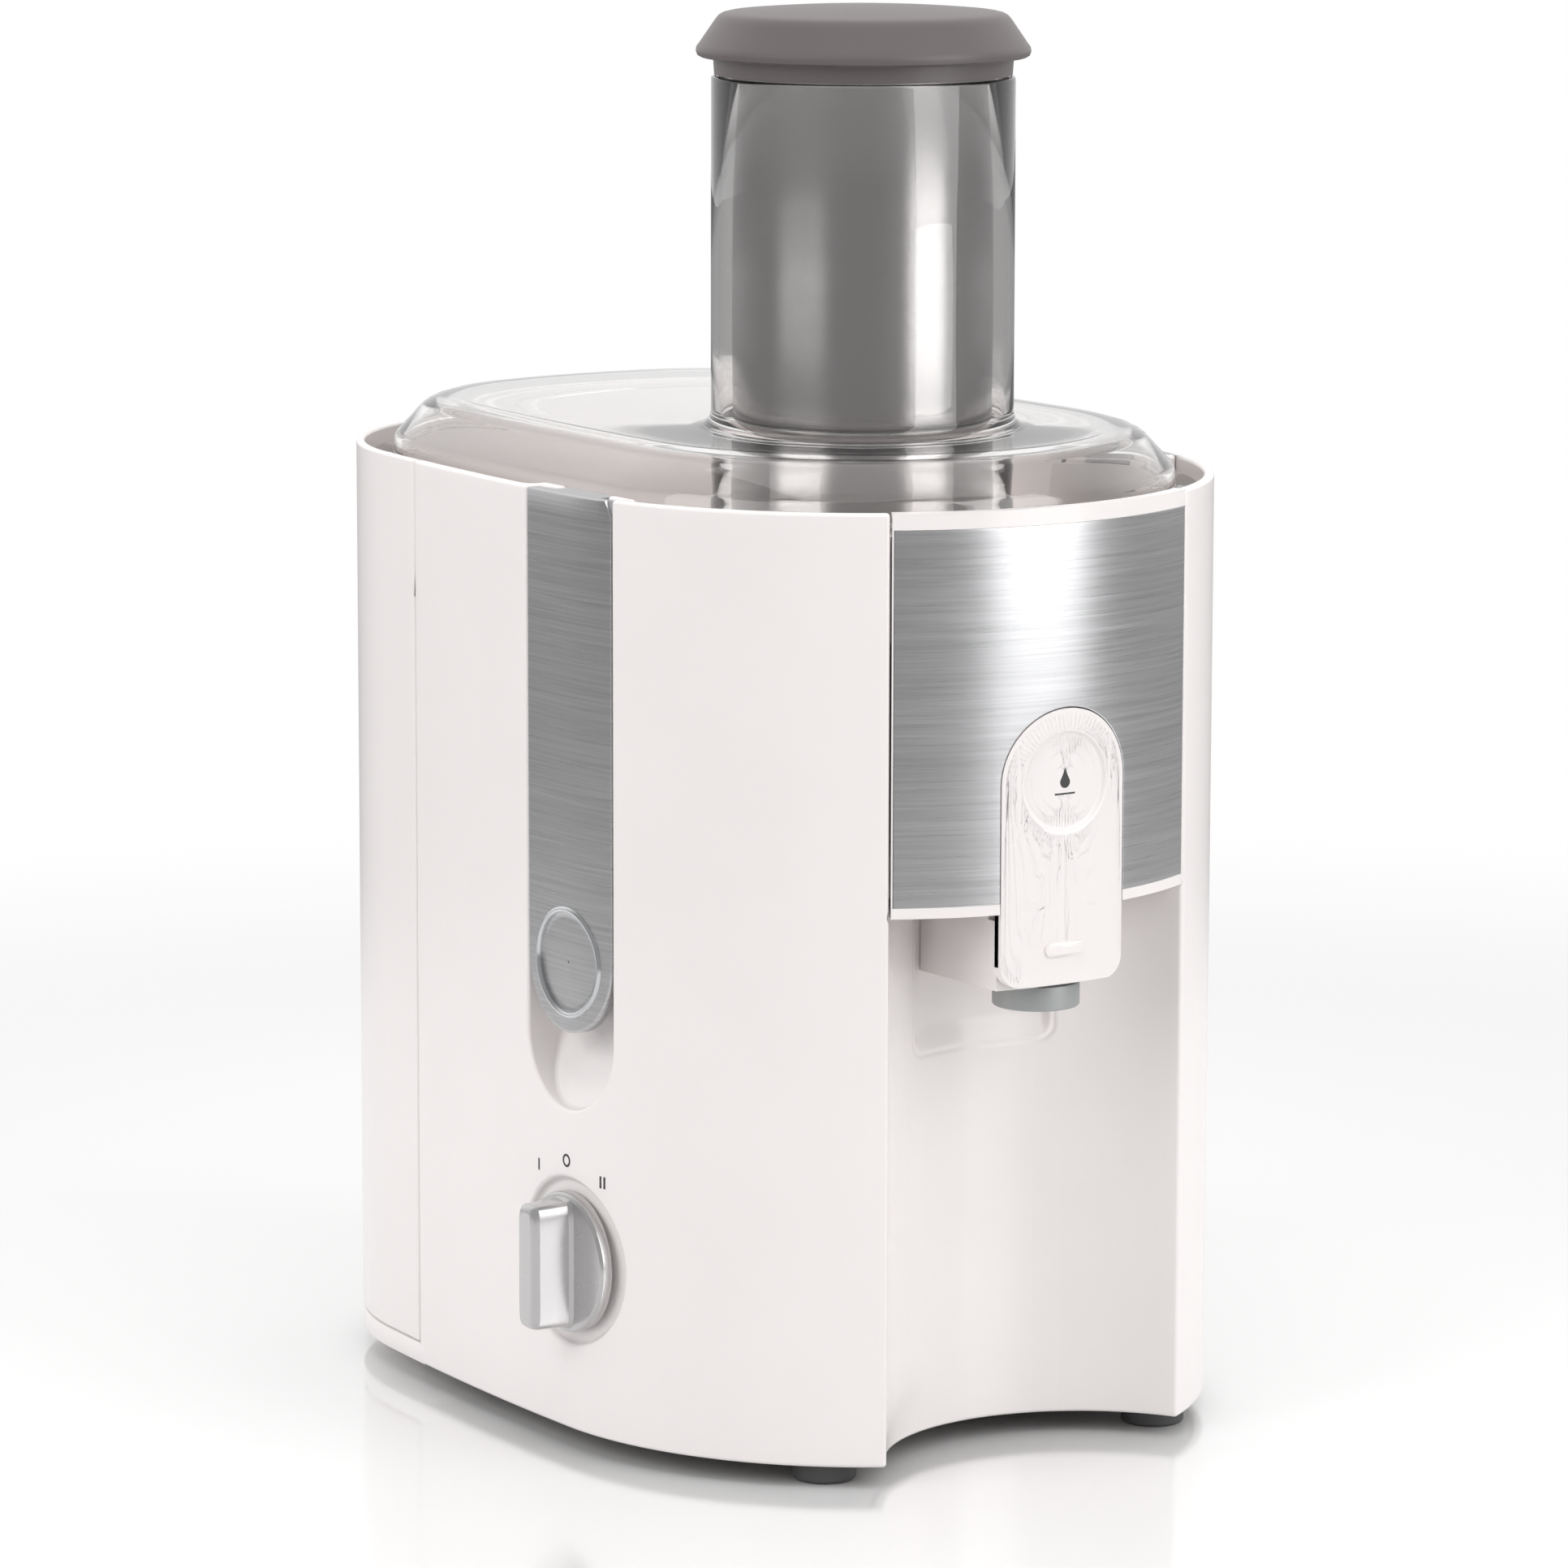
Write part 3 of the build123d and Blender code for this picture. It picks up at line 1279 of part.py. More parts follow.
with BuildPart() as pusher_cap:
    with BuildSketch(Plane.XZ):
        with BuildLine():
            Polyline(
                (0, collar_bottom - 4),
                (pusher_radius - pusher_wall - running_gap, collar_bottom - 4),
                (pusher_radius - pusher_wall - running_gap, collar_bottom),
                (chute_radius - 0.9, collar_bottom),
                (chute_radius - 0.6, collar_bottom + 4.4),
                (cap_radius - 1.2, collar_bottom + 5.0),
            )
            ThreePointArc(
                (cap_radius - 1.2, collar_bottom + 5.0),
                (cap_radius, collar_bottom + 6.6),
                (cap_radius - 0.9, collar_bottom + 8.6),
            )
            Line((cap_radius - 0.9, collar_bottom + 8.6), (cap_radius - 5.0, collar_bottom + 14.6))
            ThreePointArc(
                (cap_radius - 5.0, collar_bottom + 14.6),
                (cap_radius - 6.4, collar_bottom + 16.4),
                (cap_radius - 9.0, collar_bottom + 17.4),
            )
            CenterArc((0, cap_top - dome_radius), dome_radius, dome_angle, 90 - dome_angle)
            Line((0, cap_top), (0, collar_bottom - 4))
        make_face()
    revolve(axis=Axis.Z)
finish(pusher_cap.part, "pusher_cap")


# ================================================================ pulp container
container_wall = 2.5
container_bottom = foot_height + shelf_thickness + slide_gap
container_lip = bowl_deck_height - 3.5
with BuildPart() as pulp_container:
    extrude(body_face(0, container_bottom), amount=rim_height - container_bottom)
    fillet(pulp_container.faces().sort_by(Axis.Z)[-1].edges(), 1.0)
    extrude(
        body_face(container_wall, container_bottom + container_wall),
        amount=rim_height,
        mode=Mode.SUBTRACT,
    )
    with BuildSketch(Plane.XY.offset(container_bottom)):
        add(body_face(0.5, 0))
        add(
            box_face(-200, 200, container_front, container_front + container_wall, 0), mode=Mode.INTERSECT
        )
    extrude(amount=container_lip - container_bottom)
    extrude(box_face(-200, 200, -200, container_front, 0), amount=2 * rim_height, mode=Mode.SUBTRACT)
finish(pulp_container.part, "pulp_container")
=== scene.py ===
"""Looks of a centrifugal juicer: moulded shells, steel skins, clear lid, silver knob, studio and camera.

Metres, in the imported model's own frame: +Z is up, the spout faces -Y, the switch faces -X, and the origin
lies on the drive axis, on the plane that the feet stand on. Every new surface is a grid of points.
"""
from __future__ import annotations

import json
import logging
import math
from dataclasses import dataclass, field
from enum import Enum

import bmesh
import bpy
import numpy as np
from mathutils import Matrix, Vector

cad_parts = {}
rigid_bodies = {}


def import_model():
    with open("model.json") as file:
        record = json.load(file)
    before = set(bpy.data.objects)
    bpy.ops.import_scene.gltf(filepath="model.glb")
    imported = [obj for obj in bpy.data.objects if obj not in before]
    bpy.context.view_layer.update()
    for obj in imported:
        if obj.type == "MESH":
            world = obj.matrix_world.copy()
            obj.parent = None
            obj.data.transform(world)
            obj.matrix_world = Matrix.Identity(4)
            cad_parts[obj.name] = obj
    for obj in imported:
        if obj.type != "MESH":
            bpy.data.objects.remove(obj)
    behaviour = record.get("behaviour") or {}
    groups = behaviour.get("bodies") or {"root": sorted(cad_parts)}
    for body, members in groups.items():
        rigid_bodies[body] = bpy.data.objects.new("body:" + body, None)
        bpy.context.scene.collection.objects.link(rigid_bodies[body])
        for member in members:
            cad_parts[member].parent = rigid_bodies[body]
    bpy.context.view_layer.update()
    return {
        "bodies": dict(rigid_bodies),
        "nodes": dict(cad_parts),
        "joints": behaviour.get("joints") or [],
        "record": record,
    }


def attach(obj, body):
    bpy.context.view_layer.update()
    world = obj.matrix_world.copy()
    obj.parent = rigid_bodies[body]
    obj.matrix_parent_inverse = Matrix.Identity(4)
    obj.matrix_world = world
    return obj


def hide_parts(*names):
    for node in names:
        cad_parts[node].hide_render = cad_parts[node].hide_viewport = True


LOG = logging.getLogger("juicer")
Grid = np.ndarray
Triple = tuple[float, float, float]
Colour = Triple
Sockets = dict[str | int, "bpy.types.NodeSocket | float | tuple[float, ...]"]
WHITE = (1.0, 1.0, 1.0, 1.0)
COAT_ROUGHNESS = 0.08
MERGE_DISTANCE = 2e-6
SAME_HEIGHT = 1e-6
NEAR_ZERO = 1e-9
AXIS = 0.0002
FULL_TURN = 2.0 * math.pi
ROUNDED_ANGLE = 40.0
FACE_WEIGHT = 60
LIGHT_AIM = (0.0, 0.03, 0.2)


class Side(Enum):
    """The two clamp sides, as the sign of X."""

    LEFT = -1
    RIGHT = 1


class Brushing(Enum):
    """Which way the fine lines of a brushed surface run, as the noise's scale along X, Y and Z."""

    NONE = (1.0, 1.0, 1.0)
    LEVEL = (0.012, 0.012, 1.0)
    UPRIGHT = (1.0, 1.0, 0.02)


# ------------------------------------------------------------------------------------- finishes
def add_node(
    tree: bpy.types.NodeTree, kind: str, sockets: Sockets | None = None, **settings: str
) -> bpy.types.ShaderNode:
    """Adds one shader node.

    Args:
        tree: The nodes to add to.
        kind: The node's type, without the words ShaderNode.
        sockets: For each input's name or number, the output that feeds it or its value.
        settings: The node's own settings.

    Returns:
        The node.
    """
    made = tree.nodes.new(f"ShaderNode{kind}")
    for setting, value in settings.items():
        setattr(made, setting, value)
    for key, value in (sockets or {}).items():
        if isinstance(value, bpy.types.NodeSocket):
            tree.links.new(value, made.inputs[key])
        else:
            made.inputs[key].default_value = value
    return made


def arithmetic(
    tree: bpy.types.NodeTree, operation: str, first: bpy.types.NodeSocket,
    second: bpy.types.NodeSocket | float = 0.0,
) -> bpy.types.NodeSocket:
    """Adds one arithmetic node.

    Args:
        tree: The nodes to add to.
        operation: The arithmetic to do.
        first: The first value.
        second: The second value, where the operation has one.

    Returns:
        The result.
    """
    return add_node(tree, "Math", {0: first, 1: second}, operation=operation).outputs[0]


def overlay(
    tree: bpy.types.NodeTree, shader: bpy.types.ShaderNode, share: bpy.types.NodeSocket, colour: Colour
) -> None:
    """Lays a second colour over the shader's base colour.

    Args:
        tree: The material's nodes.
        shader: The shader, whose base colour is linked already.
        share: How much of the second colour shows, from 0 to 1.
        colour: The second colour.
    """
    plain = shader.inputs["Base Color"].links[0].from_socket
    mix = add_node(tree, "Mix", {"Factor": share, "A": plain, "B": (*colour, 1.0)}, data_type="RGBA")
    tree.links.new(mix.outputs["Result"], shader.inputs["Base Color"])


@dataclass(frozen=True)
class Finish:
    """A surface finish: colour, gloss and fine relief, all from noise in the object's own coordinates."""

    name: str
    colour: Colour
    roughness: float
    metallic: float = 0.0
    specular: float = 0.5
    ior: float = 1.46
    transmission: float = 0.0
    coat: float = 0.0
    mottle: float = 0.02
    mottle_size: float = 0.03
    relief: float = 0.00002
    relief_size: float = 0.0006
    roughness_spread: float = 0.12
    brushing: Brushing = Brushing.NONE

    def material(self) -> bpy.types.Material:
        """Builds the node material once, and finds it again on later calls.

        Returns:
            The material.
        """
        known = bpy.data.materials.get(self.name)
        if known is not None:
            return known
        made = bpy.data.materials.new(self.name)
        made.use_nodes = True
        made.diffuse_color = (*self.colour, 1.0)
        shader = made.node_tree.nodes["Principled BSDF"]
        for socket, value in (
            ("Metallic", self.metallic), ("Specular IOR Level", self.specular), ("IOR", self.ior),
            ("Transmission Weight", self.transmission), ("Coat Weight", self.coat),
            ("Coat Roughness", COAT_ROUGHNESS),
        ):
            shader.inputs[socket].default_value = value
        self.shade(made.node_tree, shader)
        return made

    def noise(self, tree: bpy.types.NodeTree, size: float, detail: float) -> bpy.types.NodeSocket:
        """Adds a noise pattern of one size, stretched along the brushing.

        Args:
            tree: The material's nodes.
            size: The size of the pattern's grains.
            detail: How many finer octaves it has.

        Returns:
            The pattern's 0 to 1 output.
        """
        place = add_node(tree, "TexCoord").outputs["Object"]
        mapped = add_node(tree, "Mapping", {"Vector": place, "Scale": self.brushing.value}).outputs["Vector"]
        pattern = add_node(tree, "TexNoise", {"Vector": mapped, "Scale": 1.0 / size, "Detail": detail})
        return pattern.outputs["Fac"]

    def shade(self, tree: bpy.types.NodeTree, shader: bpy.types.ShaderNode) -> None:
        """Links colour variation, gloss variation and fine relief to the shader.

        Args:
            tree: The material's nodes.
            shader: The shader to feed.
        """
        ramp = add_node(tree, "ValToRGB", {"Fac": self.noise(tree, self.mottle_size, 3.0)})
        for stop, (position, level) in enumerate(((0.3, 1.0 - self.mottle), (0.7, 1.0 + self.mottle))):
            ramp.color_ramp.elements[stop].position = position
            ramp.color_ramp.elements[stop].color = (*[min(c * level, 1.0) for c in self.colour], 1.0)
        fine = self.noise(tree, self.relief_size, 2.0)
        spread = add_node(tree, "MapRange", {
            "Value": fine, "To Min": self.roughness * (1.0 - self.roughness_spread),
            "To Max": self.roughness * (1.0 + self.roughness_spread),
        })
        bump = add_node(tree, "Bump", {"Height": fine, "Strength": 0.5, "Distance": self.relief})
        tree.links.new(ramp.outputs["Color"], shader.inputs["Base Color"])
        tree.links.new(spread.outputs["Result"], shader.inputs["Roughness"])
        tree.links.new(bump.outputs["Normal"], shader.inputs["Normal"])


@dataclass(frozen=True)
class Banded(Finish):
    """A finish crossed by fine level lines: stacked sheets, windings or knurls."""

    band_pitch: float = 0.0006
    band_colour: Colour = (0.1, 0.1, 0.1)

    def shade(self, tree: bpy.types.NodeTree, shader: bpy.types.ShaderNode) -> None:
        """Adds the lines over the plain finish: a sine wave along Z between two colours.

        Args:
            tree: The material's nodes.
            shader: The shader to feed.
        """
        super().shade(tree, shader)
        place = add_node(tree, "TexCoord").outputs["Object"]
        sockets = {"Vector": place, "Scale": 0.31416 / self.band_pitch, "Distortion": 0.3}
        wave = add_node(tree, "TexWave", sockets, bands_direction="Z")
        overlay(tree, shader, wave.outputs["Fac"], self.band_colour)


@dataclass(frozen=True)
class Perforated(Finish):
    """Sheet metal with rows of fine round holes, drawn as dark dots that turn with the drum."""

    holes_round: int = 150
    row_pitch: float = 0.0026
    threshold: float = 0.45
    hole_colour: Colour = (0.02, 0.02, 0.02)

    def shade(self, tree: bpy.types.NodeTree, shader: bpy.types.ShaderNode) -> None:
        """Adds the dots: the product of one sine round the axis and one up it, past a threshold.

        Args:
            tree: The material's nodes.
            shader: The shader to feed.
        """
        super().shade(tree, shader)
        place = add_node(tree, "TexCoord").outputs["Object"]
        x, y, z = add_node(tree, "SeparateXYZ", {"Vector": place}).outputs
        angle = arithmetic(tree, "ARCTAN2", y, x)
        turned_angle = arithmetic(tree, "MULTIPLY", angle, float(self.holes_round))
        raised_angle = arithmetic(tree, "MULTIPLY", z, math.pi / self.row_pitch)
        around, up = (arithmetic(tree, "SINE", value) for value in (turned_angle, raised_angle))
        dots = arithmetic(tree, "GREATER_THAN", arithmetic(tree, "MULTIPLY", around, up), self.threshold)
        overlay(tree, shader, dots, self.hole_colour)


@dataclass(frozen=True)
class Clear(Finish):
    """A clear moulding: it bends what is seen through it, and lets the studio's light straight through."""

    tint: Colour = (0.96, 0.95, 0.945)

    def shade(self, tree: bpy.types.NodeTree, shader: bpy.types.ShaderNode) -> None:
        """Adds a see-through path for shadow and diffuse rays beside the plain finish.

        Args:
            tree: The material's nodes.
            shader: The shader to feed.
        """
        super().shade(tree, shader)
        path = add_node(tree, "LightPath").outputs
        either = arithmetic(tree, "MAXIMUM", path["Is Shadow Ray"], path["Is Diffuse Ray"])
        through = add_node(tree, "BsdfTransparent", {"Color": (*self.tint, 1.0)}).outputs["BSDF"]
        mix = add_node(tree, "MixShader", {"Fac": either, 1: shader.outputs["BSDF"], 2: through})
        tree.links.new(mix.outputs["Shader"], tree.nodes["Material Output"].inputs["Surface"])


WHITE_PLASTIC = Finish("white_moulding", (0.84, 0.80, 0.79), 0.24, mottle=0.008, relief=0.000012, coat=0.2)
INNER_WHITE = Finish("white_inner_moulding", (0.80, 0.76, 0.75), 0.4, mottle=0.01)
BRUSHED_STEEL = Finish(
    "brushed_steel", (0.60, 0.60, 0.61), 0.30, metallic=1.0, mottle=0.10, mottle_size=0.0007,
    relief=0.000012, relief_size=0.00035, roughness_spread=0.25, brushing=Brushing.LEVEL,
)
POLISHED_STEEL = Finish("polished_steel", (0.72, 0.73, 0.74), 0.12, metallic=1.0, relief=0.000002)
CLEAR_PLASTIC = Clear(
    "clear_moulding", (0.985, 0.975, 0.97), 0.015, transmission=1.0, mottle=0.002, relief=0.0,
)
SMOKY_PLASTIC = Finish("smoky_grey_moulding", (0.36, 0.355, 0.355), 0.24, metallic=0.92, coat=0.1)
CAP_PLASTIC = Finish("cap_grey_moulding", (0.125, 0.108, 0.108), 0.42, mottle=0.015, relief=0.00002)
SILVER_PLASTIC = Finish(
    "silver_moulding", (0.62, 0.61, 0.61), 0.26, metallic=0.85, mottle=0.015, relief=0.000008,
)
NOZZLE_METAL = Finish("nozzle_metal", (0.36, 0.36, 0.37), 0.24, metallic=1.0, mottle=0.03)
DARK_INK = Finish("dark_ink", (0.045, 0.043, 0.043), 0.5, mottle=0.05)
LEVER_PLASTIC = Finish("lever_grey_moulding", (0.36, 0.36, 0.37), 0.4, mottle=0.02)
BASE_GREY = Finish("base_grey_moulding", (0.30, 0.28, 0.27), 0.5, mottle=0.03)
RUBBER = Finish(
    "grey_rubber", (0.07, 0.068, 0.068), 0.62, mottle=0.08, relief=0.00004, relief_size=0.0004,
)
STEEL_PART = Finish(
    "turned_steel", (0.55, 0.55, 0.56), 0.3, metallic=1.0, mottle=0.05, brushing=Brushing.UPRIGHT,
)
BLACK_PLASTIC = Finish("black_moulding", (0.03, 0.03, 0.03), 0.42, mottle=0.1)
LAMINATION = Banded(
    "stacked_sheets", (0.32, 0.32, 0.33), 0.45, metallic=0.9, mottle=0.1, band_colour=(0.12, 0.12, 0.12),
)
COPPER = Banded(
    "enamelled_copper", (0.55, 0.21, 0.07), 0.3, metallic=0.9, mottle=0.1, band_colour=(0.25, 0.08, 0.03),
)
BRASS = Finish("brass", (0.72, 0.50, 0.20), 0.3, metallic=1.0, mottle=0.08)
CARBON = Finish("carbon_block", (0.025, 0.025, 0.027), 0.55, mottle=0.2, relief=0.00005)
BEARING_STEEL = Finish("bearing_steel", (0.62, 0.62, 0.64), 0.16, metallic=1.0, mottle=0.03)
WHITE_NYLON = Finish("white_nylon", (0.74, 0.73, 0.70), 0.45, mottle=0.02)
BOARD_GREEN = Finish("board_green", (0.02, 0.16, 0.07), 0.4, mottle=0.12, mottle_size=0.004)
DRUM_STEEL = Perforated("perforated_steel", (0.60, 0.60, 0.61), 0.25, metallic=1.0, mottle=0.04)


# ------------------------------------------------------------------------------------- surfaces
def stations(*runs: tuple[float, float, int]) -> Grid:
    """Joins even runs of stations.

    Args:
        runs: Each run's first value, last value and number of steps; a run starts where the one before ends.

    Returns:
        The stations, with shared ends once.
    """
    spans = [np.linspace(first, last, steps + 1) for first, last, steps in runs]
    return np.concatenate([spans[0]] + [span[1:] for span in spans[1:]])


def arc(centre: tuple[float, float], radius: float, start: float, end: float, steps: int = 6) -> Grid:
    """Points on a circle: the centre plus the radius times the cosine and sine of each angle.

    Args:
        centre: The circle's centre.
        radius: Its radius.
        start: The first angle, in degrees.
        end: The last angle, in degrees.
        steps: How many steps there are between them.

    Returns:
        Points of shape (steps + 1, 2).
    """
    turn = np.radians(np.linspace(start, end, steps + 1))
    return np.stack([centre[0] + radius * np.cos(turn), centre[1] + radius * np.sin(turn)], axis=1)


def upright(across: float, heights: Grid) -> Grid:
    """Points of a straight upright run, as rows of a fixed place across and each height."""
    return np.column_stack([np.full_like(heights, across), heights])


def level(across: Grid, height: float) -> Grid:
    """Points of a straight level run, as rows of each place across and a fixed height."""
    return np.column_stack([across, np.full_like(across, height)])


def ring_of(radius: Grid | float, height: float, turn: Grid) -> Grid:
    """A level ring: the radius times the cosine and sine of each angle, at one height."""
    return np.stack([radius * np.cos(turn), radius * np.sin(turn), np.full_like(turn, height)], axis=-1)


def full_round(steps: int) -> Grid:
    """Even angles of a full turn, without the last, which meets the first."""
    return np.linspace(0.0, FULL_TURN, steps, endpoint=False)


@dataclass
class Skin:
    """A mesh gathered from grids of points."""

    points: list[Grid] = field(default_factory=list)
    quads: list[Grid] = field(default_factory=list)
    count: int = 0

    def sheet(self, grid: Grid, facing: Triple | None = None, keep: Grid | None = None) -> Skin:
        """Adds one grid, a quad between each four neighbouring points.

        Args:
            grid: Points of shape (rows, columns, 3).
            facing: The way that the grid's faces should look on average.
            keep: Which quads to keep, of shape (rows - 1, columns - 1).

        Returns:
            The skin itself.
        """
        rows, columns = grid.shape[:2]
        index = np.arange(rows * columns).reshape(rows, columns)
        quads = np.stack([index[:-1, :-1], index[:-1, 1:], index[1:, 1:], index[1:, :-1]], axis=-1)
        quads = quads[keep] if keep is not None else quads.reshape(-1, 4)
        flat = grid.reshape(-1, 3)
        if facing is not None:
            normals = np.cross(flat[quads[:, 2]] - flat[quads[:, 0]], flat[quads[:, 3]] - flat[quads[:, 1]])
            if float(normals.sum(axis=0) @ np.array(facing)) < 0.0:
                quads = quads[:, ::-1]
        self.points.append(flat)
        self.quads.append(quads + self.count)
        self.count += rows * columns
        return self

    def rings(self, loops: Grid, closed: bool = False) -> Skin:
        """Adds closed loops of points, each joined to the next.

        Args:
            loops: Points of shape (loops, points round, 3).
            closed: Whether the last loop is joined to the first.

        Returns:
            The skin itself.
        """
        wrapped = np.concatenate([loops, loops[:, :1]], axis=1)
        if closed:
            wrapped = np.concatenate([wrapped, wrapped[:1]], axis=0)
        return self.sheet(wrapped)

    def build(self, name: str, finish: Finish, solid: bool = True, sharp: float = 35.0) -> bpy.types.Object:
        """Makes the object: merges points that meet and turns the faces outwards.

        Args:
            name: The object's name.
            finish: Its finish.
            solid: Whether the skin is closed, so that its faces can be turned outwards.
            sharp: The angle past which an edge looks sharp, in degrees.

        Returns:
            The object, at the origin.
        """
        mesh = bpy.data.meshes.new(name)
        mesh.from_pydata(np.concatenate(self.points).tolist(), [], np.concatenate(self.quads).tolist())
        work = bmesh.new()
        work.from_mesh(mesh)
        bmesh.ops.remove_doubles(work, verts=work.verts, dist=MERGE_DISTANCE)
        if solid:
            bmesh.ops.recalc_face_normals(work, faces=work.faces)
        work.to_mesh(mesh)
        work.free()
        mesh.shade_smooth()
        mesh.set_sharp_from_angle(angle=math.radians(sharp))
        made = bpy.data.objects.new(name, mesh)
        bpy.context.scene.collection.objects.link(made)
        made.data.materials.append(finish.material())
        return made


def turned(profile: Grid, centre: tuple[float, float] = (0.0, 0.0), steps: int = 96) -> Grid:
    """Turns a profile of radius and height about an upright axis.

    Args:
        profile: Points of shape (n, 2): radius and height.
        centre: The axis in X and Y.
        steps: How many points there are round.

    Returns:
        Loops of shape (n, steps, 3).
    """
    turn = full_round(steps)
    radius, height = profile[:, :1], profile[:, 1:]
    across, along = centre[0] + radius * np.cos(turn), centre[1] + radius * np.sin(turn)
    return np.stack([across, along, height + 0.0 * turn], axis=-1)


def soften(piece: bpy.types.Object, width: float, wall: float, segments: int = 3) -> None:
    """Gives a skin its wall and rounds its edges, with normals that keep the broad faces true.

    Args:
        piece: The piece.
        width: The width of the rounding.
        wall: The wall's thickness behind the skin.
        segments: The rounding's steps.
    """
    piece.data.shade_smooth()
    flags = np.zeros(len(piece.data.edges), dtype=bool)
    piece.data.edges.foreach_set("use_edge_sharp", flags)
    solid = piece.modifiers.new("wall", "SOLIDIFY")
    solid.thickness = wall
    solid.offset = -1.0
    solid.use_even_offset = True
    solid.use_quality_normals = True
    bevel = piece.modifiers.new("edges", "BEVEL")
    bevel.width = width
    bevel.segments = segments
    bevel.limit_method = "ANGLE"
    bevel.angle_limit = math.radians(ROUNDED_ANGLE)
    bevel.use_clamp_overlap = False
    weight = piece.modifiers.new("normals", "WEIGHTED_NORMAL")
    weight.weight = FACE_WEIGHT


def settle(piece: bpy.types.Object, body: str, slot: str, *nodes: str) -> bpy.types.Object:
    """Puts a finished piece on its body and hides the CAD nodes that it stands for.

    Args:
        piece: The piece.
        body: The body that it rides on.
        slot: The material slot that its finish belongs to; not used.
        nodes: The CAD nodes that it stands for.

    Returns:
        The piece.
    """
    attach(piece, body)
    if nodes:
        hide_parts(*nodes)
    LOG.info("%s rides on %s, %d faces", piece.name, body, len(piece.data.polygons))
    return piece


@dataclass(frozen=True)
class BodyOutline:
    """The body's plan in tangent arcs: a half round front, long flat sides, two corners and a rear end."""

    front_radius: float = 0.100
    side_radius: float = 1.000
    corner_radius: float = 0.080
    rear_radius: float = 0.150
    rear_reach: float = 0.1818

    def arcs(self) -> Grid:
        """The +X half's arcs, from the front line to the rear line.

        Returns:
            Rows of centre X, centre Y, radius, first angle and sweep, in radians.
        """
        side_x = self.side_radius - self.front_radius
        rear_y = self.rear_reach - self.rear_radius
        from_side = self.side_radius - self.corner_radius
        from_rear = self.rear_radius - self.corner_radius
        span = math.hypot(side_x, rear_y)
        along = (from_side**2 - from_rear**2 + span**2) / (2.0 * span)
        across = math.sqrt(from_side**2 - along**2)
        corner_x = -side_x + (along * side_x - across * rear_y) / span
        corner_y = (along * rear_y + across * side_x) / span
        side_end = math.atan2(corner_y, corner_x + side_x)
        corner_end = math.atan2(corner_y - rear_y, corner_x)
        return np.array([
            (0.0, 0.0, self.front_radius, -math.pi / 2.0, math.pi / 2.0),
            (-side_x, 0.0, self.side_radius, 0.0, side_end),
            (corner_x, corner_y, self.corner_radius, side_end, corner_end - side_end),
            (0.0, rear_y, self.rear_radius, corner_end, math.pi / 2.0 - corner_end),
        ])

    def half_length(self) -> float:
        """The length of the outline from the front line to the rear line."""
        arcs = self.arcs()
        return float((arcs[:, 2] * arcs[:, 4]).sum())

    def at(self, along: Grid, inset: Grid | float = 0.0) -> Grid:
        """Points of the outline: each arc's centre plus its radius, less the inset, along its angle.

        Args:
            along: Distances from the front line, positive on the +X half and negative on the other.
            inset: How far inside the outline the points lie.

        Returns:
            Points of shape (..., 2).
        """
        arcs = self.arcs()
        starts = np.concatenate([[0.0], np.cumsum(arcs[:, 2] * arcs[:, 4])])[:-1]
        along, inset = np.broadcast_arrays(np.asarray(along, float), np.asarray(inset, float))
        which = np.clip(np.searchsorted(starts, np.abs(along), side="right") - 1, 0, len(arcs) - 1)
        angle = arcs[which, 3] + (np.abs(along) - starts[which]) / arcs[which, 2]
        reach = arcs[which, 2] - inset
        x = arcs[which, 0] + reach * np.cos(angle)
        y = arcs[which, 1] + reach * np.sin(angle)
        return np.stack([np.where(along < 0.0, -x, x), y], axis=-1)

    def along_at(self, y: float) -> float:
        """The distance from the front line to where the outline passes y, in front of the rear corners."""
        quarter = self.front_radius * math.pi / 2.0
        if y < 0.0:
            return quarter + self.front_radius * math.asin(y / self.front_radius)
        return quarter + self.side_radius * math.asin(y / self.side_radius)

    def half_width(self, y: Grid, inset: float = 0.0) -> Grid:
        """Half the body's width at y, in front of the rear corners.

        Args:
            y: Where to measure it.
            inset: How far inside the outline.

        Returns:
            The distances from the middle plane.
        """
        front = np.sqrt(np.maximum((self.front_radius - inset) ** 2 - y**2, 0.0))
        side = np.sqrt((self.side_radius - inset) ** 2 - y**2) - (self.side_radius - self.front_radius)
        return np.where(y < 0.0, front, side)

    def loop(self, inset: float, height: float, turn: Grid) -> Grid:
        """A level loop round the drive axis, with one point in each given direction.

        Args:
            inset: How far inside the outline it runs.
            height: Its height.
            turn: The directions, in radians.

        Returns:
            Points of shape (n, 3).
        """
        half = self.half_length()
        ring = self.at(np.linspace(-half, half, 1441), inset)
        angle = np.unwrap(np.arctan2(ring[:, 1], ring[:, 0]))
        reach = np.hypot(ring[:, 0], ring[:, 1])
        if angle[0] > angle[-1]:
            angle, reach = angle[::-1], reach[::-1]
        radius = np.interp(np.mod(turn - angle[0], FULL_TURN) + angle[0], angle, reach)
        return ring_of(radius, height, turn)


OUTLINE = BodyOutline()


